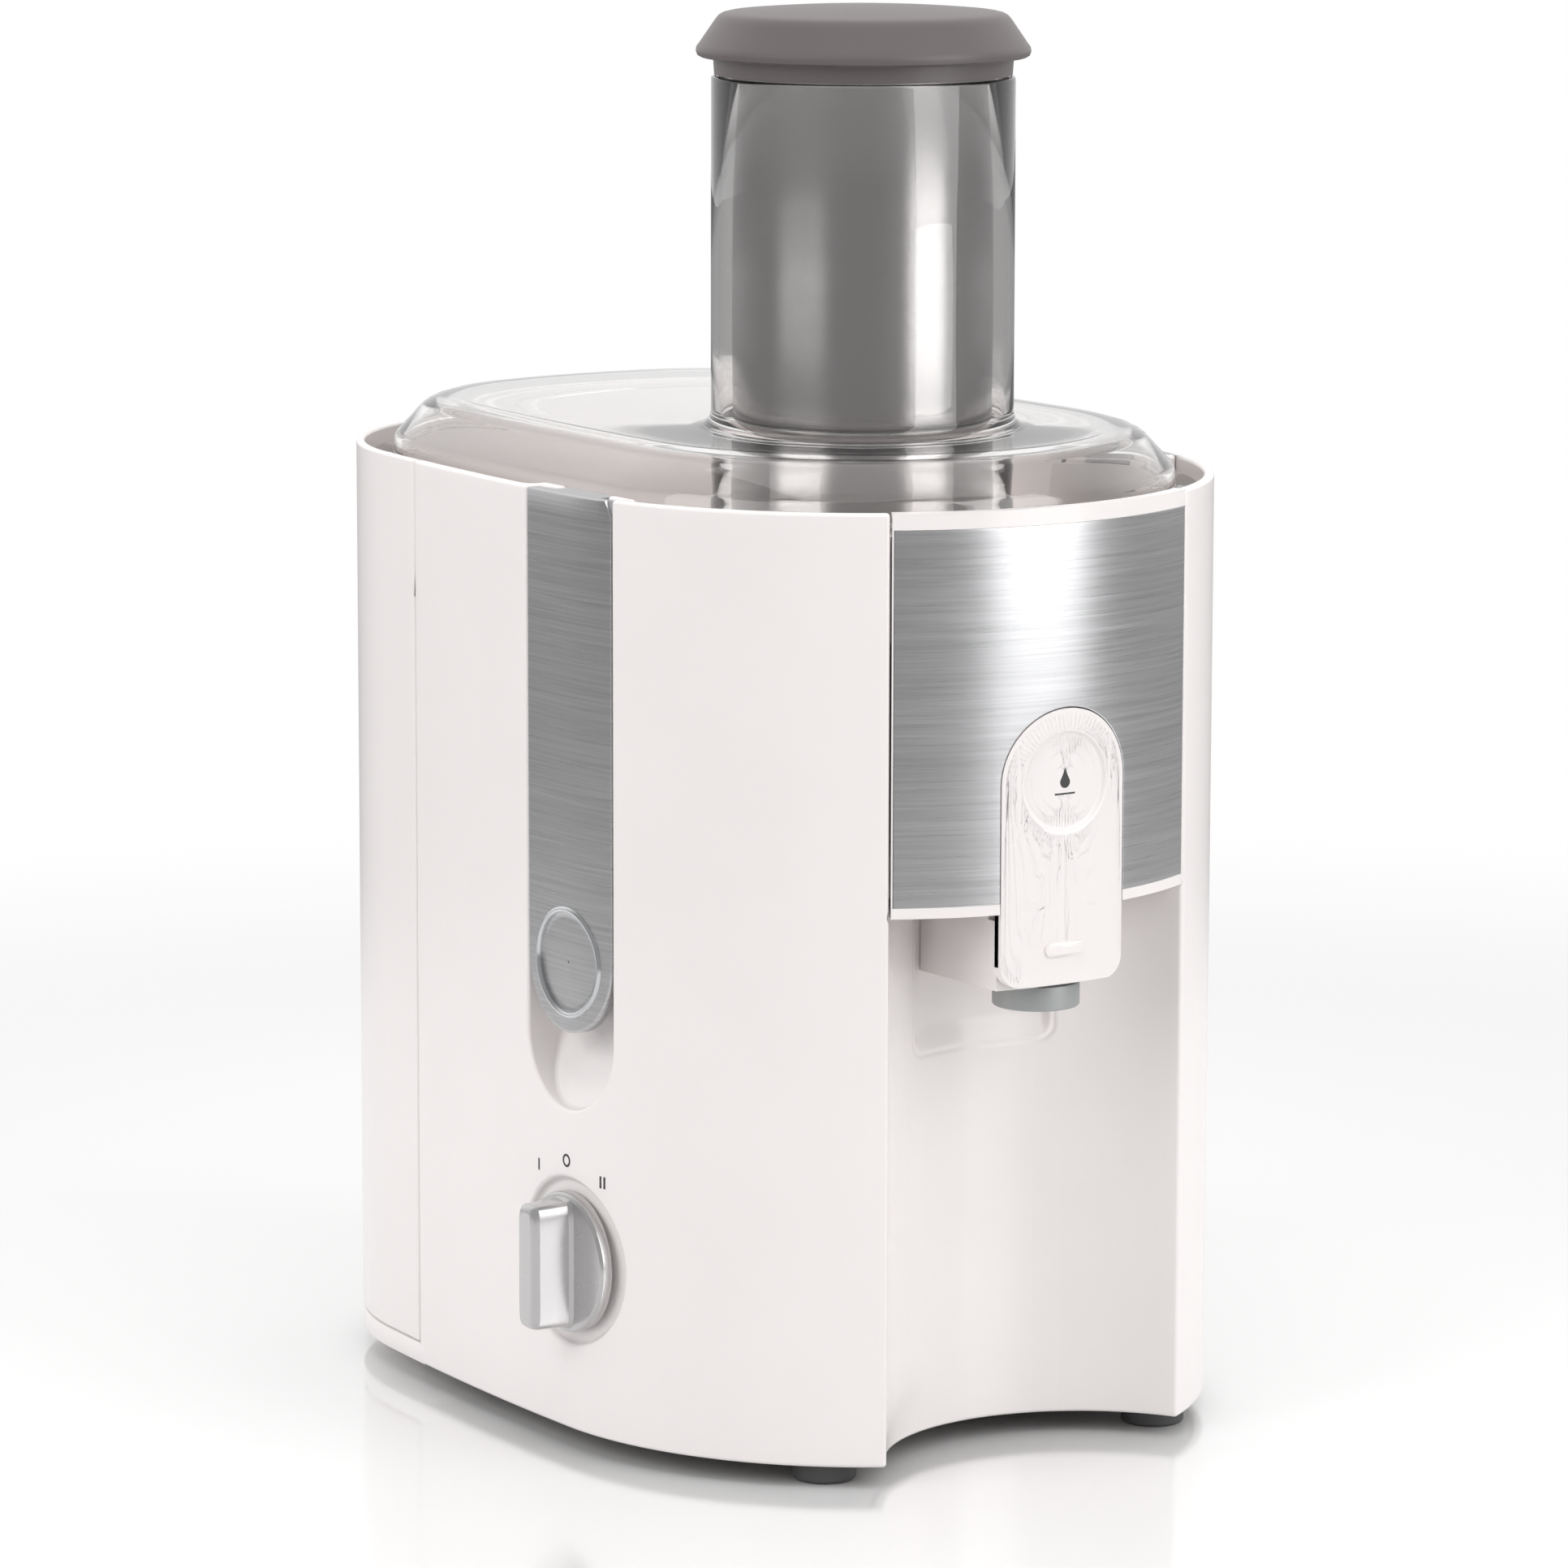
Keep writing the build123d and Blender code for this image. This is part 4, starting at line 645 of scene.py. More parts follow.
# -------------------------------------------------------------------------------------- housing
@dataclass
class Housing:
    """The motor housing's outside: side walls with pockets, knob dish and gland hole, bay and floor."""

    wall: float = 0.003
    foot: float = 0.006
    rim: float = 0.2723
    opening_bottom: float = 0.1602
    opening_half_angle: float = 30.1
    back: float = 0.0872
    partition_front: float = 0.084
    shelf_top: float = 0.012
    pocket_half: float = 0.0205
    pocket_bottom: float = 0.098
    block_half: float = 0.030
    block_bottom: float = 0.0845
    nose_half: float = 0.0125
    nose_bottom: float = 0.2625
    dish_y: float = -0.001
    dish_z: float = 0.0545
    dish_radius: float = 0.024
    dish_depth: float = 0.0024
    dish_block_bottom: float = 0.0245
    shaft_hole: float = 0.0031
    gland_y: float = 0.062
    gland_z: float = 0.024
    gland_radius: float = 0.007
    gland_block_half: float = 0.018
    bay_depth_y: float = -0.0562
    saddle_half: float = 0.024
    saddle_bottom: float = 0.1145
    saddle_end: float = 0.124
    half_height: float = 0.190
    saddle_depth: float = 0.002
    saddle_ledge: float = 0.0085
    saddle_side: float = 0.003
    saddle_corner: float = 0.0045
    groove_depth: float = 0.00045
    groove_half: float = 0.00065
    edge: float = 0.0011

    def heights(self) -> Grid:
        """The height stations that all side blocks share, so that their borders meet point to point."""
        gland_top = self.gland_z + self.gland_block_half
        round_z = self.pocket_bottom + self.pocket_half
        saddle_start = self.saddle_bottom - 0.002
        return stations(
            (self.foot, self.dish_block_bottom, 5), (self.dish_block_bottom, gland_top, 5),
            (gland_top, self.block_bottom, 11), (self.block_bottom, saddle_start, 12),
            (saddle_start, round_z, 16), (round_z, self.saddle_end, 10),
            (self.saddle_end, self.opening_bottom, 18), (self.opening_bottom, self.half_height, 12),
            (self.half_height, self.nose_bottom, 12), (self.nose_bottom, self.rim, 2),
        )

    def between(self, low: float, high: float) -> Grid:
        """The shared height stations from one height to another."""
        z = self.heights()
        return z[(z > low - SAME_HEIGHT) & (z < high + SAME_HEIGHT)]

    def pocket_floor(self, z: Grid) -> Grid:
        """How far out the clamp pocket's floor lies: deep at the finger recess and shallow above it."""
        knots = (0.097, 0.103, 0.110, 0.116, 0.173, 0.176, 0.179, 0.182, 0.2723)
        reach = (0.098, 0.0946, 0.0908, 0.088, 0.088, 0.0895, 0.0925, 0.094, 0.094)
        return np.interp(z, knots, reach)

    def plain(
        self, skin: Skin, side: Side, first: float, last: float, steps: int, low: float, high: float
    ) -> None:
        """Adds a plain stretch of a side wall between two distances along the outline and two heights.

        Args:
            skin: The skin to add to.
            side: Which side.
            first: The first distance from the front line.
            last: The last distance.
            steps: Its steps.
            low: Its lower height.
            high: Its upper height.
        """
        plan = OUTLINE.at(side.value * np.linspace(first, last, steps + 1))
        self.ruled(skin, side, plan, self.between(low, high))

    @staticmethod
    def ruled(skin: Skin, side: Side, plan: Grid, z: Grid) -> None:
        """Adds an upright stretch of wall over a plan line.

        Args:
            skin: The skin to add to.
            side: Which side it is on.
            plan: Points of shape (n, 2).
            z: Its height stations.
        """
        grid = np.empty((len(z), len(plan), 3))
        grid[:, :, :2] = plan
        grid[:, :, 2] = z[:, None]
        skin.sheet(grid, (side.value, 0.0, 0.0))

    def across(self) -> Grid:
        """The y stations of the blocks round the pocket and the dish."""
        return np.linspace(-self.block_half, self.block_half, 17)

    def pocket_block(self, skin: Skin, side: Side) -> None:
        """Adds the block with the clamp pocket.

        Its lines follow a U: down the front leg, round the pocket's lower end and up the rear leg. Its rows
        go from the block's border to the pocket's edge, down its wall and over its floor to the middle.

        Args:
            skin: The skin to add to.
            side: Which side.
        """
        round_z = self.pocket_bottom + self.pocket_half
        leg = self.between(round_z, self.rim)
        low = self.between(self.block_bottom, round_z)
        y = self.across()
        border = np.concatenate([
            upright(-self.block_half, leg[::-1]), upright(-self.block_half, low[::-1])[1:],
            level(y, self.block_bottom)[1:], upright(self.block_half, low)[1:],
            upright(self.block_half, leg)[1:],
        ])
        base = np.stack([np.zeros(len(border)), np.maximum(border[:, 1], round_z)], axis=1)
        away = border - base
        away /= np.linalg.norm(away, axis=1, keepdims=True)
        rows = [(1.0, 1.0, 0.0), (0.6, 1.0, 0.0), (0.28, 1.0, 0.0), (0.0, 1.0, 0.0), (0.0, 1.0, 1.0)]
        rows += [(0.0, share, 1.0) for share in (0.84, self.nose_half / self.pocket_half, 0.4, 0.2, 0.0)]
        grid = np.empty((len(rows), len(border), 3))
        for row, (mix, share, floor) in enumerate(rows):
            inner = base + share * self.pocket_half * away
            place = mix * border + (1.0 - mix) * inner
            outer_x = OUTLINE.half_width(place[:, 0])
            floor_x = np.minimum(self.pocket_floor(place[:, 1]), outer_x)
            grid[row, :, 0] = side.value * (floor * floor_x + (1.0 - floor) * outer_x)
            grid[row, :, 1:] = place
        keep = np.ones((len(rows) - 1, len(border) - 1), dtype=bool)
        high = np.minimum(border[:-1, 1], border[1:, 1]) > self.nose_bottom - SAME_HEIGHT
        keep[6:, high] = False
        skin.sheet(grid, (side.value, 0.0, 0.0), keep)

    @staticmethod
    def round_block(
        skin: Skin, side: Side, y: Grid, z: Grid, centre: tuple[float, float],
        rings: list[tuple[float, float]],
    ) -> None:
        """Adds a square block with a round feature: its rows go from the square's border in to the circles.

        Args:
            skin: The skin to add to.
            side: Which side.
            y: The block's y stations.
            z: The block's z stations.
            centre: The round feature's centre in y and z.
            rings: Each circle's radius and its depth below the wall, from the outermost in.
        """
        border = np.concatenate([
            level(y, z[0])[:-1], upright(y[-1], z)[:-1], level(y[::-1], z[-1])[:-1], upright(y[0], z[::-1]),
        ])
        away = border - np.array(centre)
        away /= np.linalg.norm(away, axis=1, keepdims=True)
        edge = np.array(centre) + rings[0][0] * away
        rows = [(border, 0.0), (0.5 * (border + edge), 0.0)]
        rows += [(np.array(centre) + radius * away, depth) for radius, depth in rings]
        grid = np.empty((len(rows), len(border), 3))
        for row, (place, depth) in enumerate(rows):
            grid[row, :, 0] = side.value * (OUTLINE.half_width(place[:, 0]) - depth)
            grid[row, :, 1:] = place
        skin.sheet(grid, (side.value, 0.0, 0.0))

    def bay(self, skin: Skin) -> None:
        """Adds the jug bay: an upright round wall, with the shallow saddle that leaves room behind the spout.

        A fine groove runs along the saddle's outline, a rectangle with round lower corners. Inside it the
        wall moves back by the saddle's depth, in smooth ramps from each side and from the lower edge.

        Args:
            skin: The skin to add to.
        """
        turn = math.radians(self.opening_half_angle)
        edge_x = OUTLINE.front_radius * math.sin(turn)
        edge_y = -OUTLINE.front_radius * math.cos(turn)
        rise = self.bay_depth_y - edge_y
        radius = (edge_x**2 + rise**2) / (2.0 * rise)
        centre_y = self.bay_depth_y - radius
        inner, outer = self.saddle_half - 0.0055, self.saddle_half + 0.0021
        x = stations(
            (-edge_x, -outer, 10), (-outer, -inner, 22), (-inner, inner, 16), (inner, outer, 22),
            (outer, edge_x, 10),
        )
        z = self.between(self.foot, self.opening_bottom)[:, None]
        corner = self.saddle_corner
        past_side = np.abs(x)[None, :] - (self.saddle_half - corner)
        past_floor = self.saddle_bottom + corner - z
        outside = np.hypot(np.maximum(past_side, 0.0), np.maximum(past_floor, 0.0))
        distance = outside + np.minimum(np.maximum(past_side, past_floor), 0.0) - corner
        line = self.groove_depth * np.exp(-((distance / self.groove_half) ** 2))
        side_ramp = np.clip((corner - past_side) / self.saddle_side, 0.0, 1.0)
        floor_ramp = np.clip((corner - past_floor) / self.saddle_ledge, 0.0, 1.0)
        ramp = side_ramp**2 * (3.0 - 2.0 * side_ramp) * floor_ramp**2 * (3.0 - 2.0 * floor_ramp)
        reach = radius + self.saddle_depth * ramp * (distance < 0.0) + line
        angle = np.arccos(x / radius)[None, :]
        grid = np.stack([reach * np.cos(angle), centre_y + reach * np.sin(angle), z + 0.0 * angle], axis=-1)
        skin.sheet(grid, (0.0, -1.0, 0.0))

    def shell(self) -> bpy.types.Object:
        """Builds the housing's outer wall, with its thickness and rounded edges.

        Returns:
            The object.
        """
        skin = Skin()
        edge = OUTLINE.front_radius * math.radians(self.opening_half_angle)
        front, rear = OUTLINE.along_at(-self.block_half), OUTLINE.along_at(self.block_half)
        last = OUTLINE.along_at(self.back)
        for side in Side:
            self.plain(skin, side, edge, front, 26, self.foot, self.rim)
            self.pocket_block(skin, side)
        middle = self.across()
        plan = np.stack([-OUTLINE.half_width(middle), middle], axis=1)
        self.ruled(skin, Side.LEFT, plan, self.between(self.foot, self.dish_block_bottom))
        mirrored = plan * np.array([-1.0, 1.0])
        self.ruled(skin, Side.RIGHT, mirrored, self.between(self.foot, self.block_bottom))
        rings = [(self.dish_radius, 0.0), (self.dish_radius - 0.0007, self.dish_depth)]
        rings += [(radius, self.dish_depth) for radius in (0.018, 0.012, 0.006, self.shaft_hole)]
        dish_z = self.between(self.dish_block_bottom, self.block_bottom)
        self.round_block(skin, Side.LEFT, middle, dish_z, (self.dish_y, self.dish_z), rings)
        self.plain(skin, Side.LEFT, rear, last, 14, self.foot, self.rim)
        near = self.gland_y - self.gland_block_half
        far = self.gland_y + self.gland_block_half
        gland_top = self.gland_z + self.gland_block_half
        self.plain(skin, Side.RIGHT, rear, OUTLINE.along_at(near), 4, self.foot, self.rim)
        self.plain(skin, Side.RIGHT, OUTLINE.along_at(far), last, 2, self.foot, self.rim)
        gland_y = np.linspace(near, far, 11)
        plan = np.stack([OUTLINE.half_width(gland_y), gland_y], axis=1)
        self.ruled(skin, Side.RIGHT, plan, self.between(gland_top, self.rim))
        self.round_block(
            skin, Side.RIGHT, gland_y, self.between(self.foot, gland_top), (self.gland_y, self.gland_z),
            [(self.gland_radius, 0.0)],
        )
        self.bay(skin)
        piece = skin.build("housing_shell", WHITE_PLASTIC, solid=False)
        soften(piece, self.edge, self.wall)
        return piece

    def shelf(self) -> bpy.types.Object:
        """Builds the floor under the pulp container, with its rounded outer edge.

        Returns:
            The object.
        """
        start = OUTLINE.along_at(self.partition_front)
        half = OUTLINE.half_length()
        right = np.linspace(start, half, 61)
        along = np.concatenate([right, -right[::-1][1:]])
        loops = []
        for inset, z in (
            (0.006, 0.0), (0.0008, 0.0), (0.0002, 0.0002), (0.0, 0.0008), (0.0, 0.0054), (0.0002, 0.0058),
            (0.0006, 0.006), (0.006, 0.006),
        ):
            plan = OUTLINE.at(along, inset)
            plan[[0, -1], 1] = self.partition_front
            loops.append(np.column_stack([plan, np.full(len(plan), self.foot + z)]))
        middle = np.array([0.0, 0.13, 0.0])
        ends = [np.tile(middle + (0.0, 0.0, z), (len(along), 1)) for z in (self.foot, self.shelf_top)]
        return Skin().rings(np.array([ends[0]] + loops + [ends[1]])).build("rear_floor", WHITE_PLASTIC)

    def make(self) -> None:
        """Builds the housing's pieces."""
        settle(self.shell(), "base", "white_plastic", "housing_left", "housing_right", "housing_bay")
        settle(self.shelf(), "base", "white_plastic", "container_shelf")


@dataclass
class PulpContainer:
    """The pulp container: the body's rear, an open bucket with a flat front wall."""

    front: float = 0.0875
    bottom: float = 0.0123
    front_top: float = 0.2325
    rim: float = 0.2723
    wall: float = 0.0025
    edge: float = 0.0009
    columns: int = 25

    def make(self) -> None:
        """Builds the bucket: the outline's rear carried up, a floor and a front wall, as one skin."""
        half = OUTLINE.half_length()
        start = OUTLINE.along_at(self.front)
        right = stations((start, OUTLINE.along_at(0.108), 5), (OUTLINE.along_at(0.108), half, 44))
        plan = OUTLINE.at(np.concatenate([right, -right[::-1][1:]]))
        plan[[0, -1], 1] = self.front
        z = stations((self.bottom, self.front_top, 24), (self.front_top, self.rim, 6))
        skin = Skin()
        wall = np.empty((len(z), len(plan), 3))
        wall[:, :, :2] = plan
        wall[:, :, 2] = z[:, None]
        count = len(right)
        skin.sheet(wall[:, :count], (1.0, 0.3, 0.0))
        skin.sheet(wall[:, count - 1 :], (-1.0, 0.3, 0.0))
        side = plan[:count]
        mix = np.linspace(1.0, -1.0, self.columns)
        depth = np.repeat(side[:, 1:], self.columns, axis=1)
        floor = np.stack([side[:, :1] * mix, depth, np.full_like(depth, self.bottom)], axis=-1)
        skin.sheet(floor, (0.0, 0.0, -1.0))
        low = z[z < self.front_top + SAME_HEIGHT]
        x, height = np.meshgrid(side[0, 0] * mix, low)
        face = np.stack([x, np.full_like(x, self.front), height], axis=-1)
        skin.sheet(face, (0.0, -1.0, 0.0))
        piece = skin.build("pulp_bucket", WHITE_PLASTIC, solid=False)
        soften(piece, self.edge, self.wall)
        settle(piece, "container", "white_plastic", "pulp_container")


@dataclass
class FrontPanel:
    """The steel skin on the collector's front wall, cut out round the spout cover."""

    radius: float = 0.100
    thickness: float = 0.0008
    half_angle: float = 29.45
    bottom: float = 0.1635
    top: float = 0.2677
    arch_half: float = 0.02085
    arch_z: float = 0.196
    edge: float = 0.00025

    def make(self) -> None:
        """Builds the skin: its lines run from the cut-out to the border, up one leg and down the other."""
        edge_x = self.radius * math.sin(math.radians(self.half_angle))
        corner = math.atan2(self.top - self.arch_z, edge_x)
        leg = np.linspace(self.bottom, self.arch_z, 8)[:-1]
        turn = stations((math.pi, math.pi - corner, 10), (math.pi - corner, corner, 16), (corner, 0.0, 10))
        away = np.stack([np.cos(turn), np.sin(turn)], axis=1)
        sideways = edge_x / np.maximum(np.abs(away[:, 0]), NEAR_ZERO)
        reach = np.minimum(sideways, (self.top - self.arch_z) / np.maximum(away[:, 1], NEAR_ZERO))
        centre = np.array([0.0, self.arch_z])
        inner, outer = (
            np.concatenate([upright(-half, leg), centre + size * away, upright(half, leg[::-1])])
            for half, size in ((self.arch_half, self.arch_half), (edge_x, reach[:, None]))
        )
        share = np.linspace(0.0, 1.0, 15)[:, None, None]
        flat = inner[None] * (1.0 - share) + outer[None] * share
        x, z = flat[..., 0], flat[..., 1]
        grid = np.stack([x, -np.sqrt(self.radius**2 - x**2), z], axis=-1)
        piece = Skin().sheet(grid, (0.0, -1.0, 0.0)).build("steel_front_skin", BRUSHED_STEEL, solid=False)
        soften(piece, self.edge, self.thickness, segments=2)
        settle(piece, "collector", "steel_skin", "front_panel")


@dataclass
class Plate:
    """A rounded plate with a round dimple, as rings about the dimple's centre, laid on a curved face."""

    border: Grid
    centre: tuple[float, float]
    rounding: float
    thickness: float
    dimple_radius: float
    dimple_depth: float
    dimple_edge: float

    def rings(self) -> tuple[Grid, Grid]:
        """Works out the rings from the front's middle, over the rounded border and in over the back.

        Returns:
            The rings' flat points of shape (rings, points, 2), and each ring's depth behind the face.
        """
        middle = np.array(self.centre)
        away = self.border - middle
        reach = np.linalg.norm(away, axis=1, keepdims=True)
        away = away / reach
        start = self.dimple_radius + 0.4 * self.dimple_edge
        rows, depths = [], []
        for share in (0.02, 0.35, 0.65, 0.85):
            rows.append(middle + share * (self.dimple_radius - self.dimple_edge) * away)
            depths.append(self.dimple_depth)
        for share in np.linspace(0.0, 1.0, 7):
            rows.append(middle + (self.dimple_radius - self.dimple_edge * (1.0 - share)) * away)
            depths.append(self.dimple_depth * (1.0 - share * share * (3.0 - 2.0 * share)))
        for share in (0.0, 0.06, 0.15, 0.3, 0.5, 0.7, 0.85, 0.95, 1.0):
            rows.append(middle + (start * (1.0 - share) + (reach - self.rounding) * share) * away)
            depths.append(0.0)
        for turn in np.radians((30.0, 60.0, 90.0)):
            rows.append(middle + (reach - self.rounding * (1.0 - math.sin(turn))) * away)
            depths.append(self.rounding * (1.0 - math.cos(turn)))
        for share in (1.0, 0.98, 0.5, 0.01):
            rows.append(middle + share * reach * away)
            depths.append(self.thickness)
        return np.array(rows), np.array(depths)


@dataclass
class SpoutCover:
    """The push cover over the spout: an arched plate with a round dimple, a small bump and a drop mark."""

    outer_radius: float = 0.09995
    half: float = 0.0205
    round_z: float = 0.196
    bottom: float = 0.1395
    corner: float = 0.006
    thickness: float = 0.003
    rounding: float = 0.0012
    dimple_radius: float = 0.0145
    dimple_depth: float = 0.001
    dimple_edge: float = 0.0016
    bump_z: float = 0.1495
    bump_half: float = 0.007
    bump_radius: float = 0.0019
    ink: float = 0.00006

    def border(self) -> Grid:
        """The plate's outline in X and Z, anticlockwise from the arch's right end."""
        low, side = self.bottom + self.corner, self.half - self.corner
        leg = np.linspace(self.round_z, low, 15)[1:-1]
        x = np.linspace(-side, side, 11)[1:-1]
        return np.concatenate([
            arc((0.0, self.round_z), self.half, 0.0, 180.0, 40), upright(-self.half, leg),
            arc((-side, low), self.corner, 180.0, 270.0, 8), level(x, self.bottom),
            arc((side, low), self.corner, 270.0, 360.0, 8), upright(self.half, leg[::-1]),
        ])

    def laid(self, flat: Grid, depth: Grid) -> Grid:
        """Lays flat points on the round face.

        Args:
            flat: Points in X and Z, of shape (rings, points, 2).
            depth: How far behind the face each ring lies.

        Returns:
            Points of shape (rings, points, 3).
        """
        radius = (self.outer_radius - depth)[:, None]
        x, z = flat[..., 0], flat[..., 1]
        return np.stack([x, -np.sqrt(radius**2 - x**2), z], axis=-1)

    def raised(
        self, name: str, outline: Grid, floor: float, heights: Grid, insets: Grid, finish: Finish
    ) -> None:
        """Builds a small raised shape on the cover.

        Args:
            name: The piece's name.
            outline: Its outline in X and Z, as a closed loop.
            floor: How far behind the face it stands.
            heights: Each ring's height over that floor.
            insets: Each ring's share of the outline's size.
            finish: Its finish.
        """
        middle = outline.mean(axis=0)
        flat = np.array([middle + share * (outline - middle) for share in insets])
        piece = Skin().rings(self.laid(flat, floor - heights)).build(name, finish)
        settle(piece, "cover", "white_plastic")

    def make(self) -> None:
        """Builds the cover, its bump and its mark."""
        plate = Plate(
            self.border(), (0.0, self.round_z), self.rounding, self.thickness, self.dimple_radius,
            self.dimple_depth, self.dimple_edge,
        )
        flat, depth = plate.rings()
        piece = Skin().rings(self.laid(flat, depth)).build("spout_cover_plate", WHITE_PLASTIC, sharp=50.0)
        settle(piece, "cover", "white_plastic")
        pill = np.concatenate([
            arc((self.bump_half - self.bump_radius, self.bump_z), self.bump_radius, -90.0, 90.0, 12),
            arc((self.bump_radius - self.bump_half, self.bump_z), self.bump_radius, 90.0, 270.0, 12),
        ])
        rise = np.sin(np.linspace(0.0, math.pi / 2.0, 7))
        share = 1.0 - 0.35 * (1.0 - np.cos(np.linspace(0.0, math.pi / 2.0, 7)))
        self.raised(
            "spout_cover_bump", pill, 0.0, np.concatenate([[-0.0004], 0.0008 * rise, [0.00082]]),
            np.concatenate([[1.0], share, [0.01]]), WHITE_PLASTIC,
        )
        ink_rise, ink_share = np.array([-0.0002, self.ink, self.ink]), np.array([1.0, 1.0, 0.02])
        drop = np.concatenate([
            arc((0.0, self.round_z - 0.0002), 0.00165, -200.0, 20.0, 22),
            np.array([
                (0.0009, 0.1976), (0.0003, 0.1990), (0.0, 0.2000), (-0.0003, 0.1990), (-0.0009, 0.1976),
            ]),
        ])
        self.raised("drop_mark", drop, self.dimple_depth, ink_rise, ink_share, DARK_INK)
        line = np.array([(-0.0034, 0.1923), (0.0034, 0.1923), (0.0034, 0.1928), (-0.0034, 0.1928)])
        self.raised("drop_mark_line", line, self.dimple_depth, ink_rise, ink_share, DARK_INK)


@dataclass
class Clamp:
    """The steel face of one side clamp: a long plate with a round lower end, a dimple and a bright ring."""

    half: float = 0.020
    round_z: float = 0.140
    top: float = 0.2718
    inset: float = 0.0002
    thickness: float = 0.0012
    rounding: float = 0.0005
    dimple_radius: float = 0.0152
    dimple_depth: float = 0.0007
    dimple_edge: float = 0.0006
    ring_radius: float = 0.0150
    ring_tube: float = 0.0009
    ring_depth: float = 0.0002

    def border(self) -> Grid:
        """The face's outline in Y and Z, from the upper +Y corner anticlockwise."""
        y = np.linspace(self.half, -self.half, 17)[:-1]
        leg = np.linspace(self.round_z, self.top, 30)[1:-1]
        return np.concatenate([
            level(y, self.top), upright(-self.half, leg[::-1]),
            arc((0.0, self.round_z), self.half, 180.0, 360.0, 48), upright(self.half, leg),
        ])

    def laid(self, side: Side, flat: Grid, depth: Grid) -> Grid:
        """Lays flat points on the housing's side.

        Args:
            side: Which side.
            flat: Points in Y and Z, of shape (rings, points, 2).
            depth: How far behind the face they lie, with one value for each ring or for each point.

        Returns:
            Points of shape (rings, points, 3).
        """
        x = side.value * (OUTLINE.half_width(flat[..., 0], self.inset) - depth)
        return np.stack([x, flat[..., 0], flat[..., 1]], axis=-1)

    def make(self, side: Side) -> None:
        """Builds one clamp's face and its ring.

        Args:
            side: Which side.
        """
        word = side.name.lower()
        plate = Plate(
            self.border(), (0.0, self.round_z), self.rounding, self.thickness, self.dimple_radius,
            self.dimple_depth, self.dimple_edge,
        )
        flat, depth = plate.rings()
        piece = Skin().rings(self.laid(side, flat, depth[:, None])).build(f"clamp_skin_{word}", BRUSHED_STEEL)
        settle(piece, f"clamp_{word}", "steel_skin", f"clamp_face_{word}")
        turn, across = full_round(64), full_round(12)[:, None]
        radius = self.ring_radius + self.ring_tube * np.cos(across)
        flat = np.stack([radius * np.cos(turn), self.round_z + radius * np.sin(turn)], axis=-1)
        depth = self.ring_depth - self.ring_tube * np.sin(across) + 0.0 * turn
        loops = self.laid(side, flat, depth)
        ring = Skin().rings(loops, closed=True).build(f"clamp_ring_{word}", POLISHED_STEEL)
        settle(ring, f"clamp_{word}", "steel_skin")


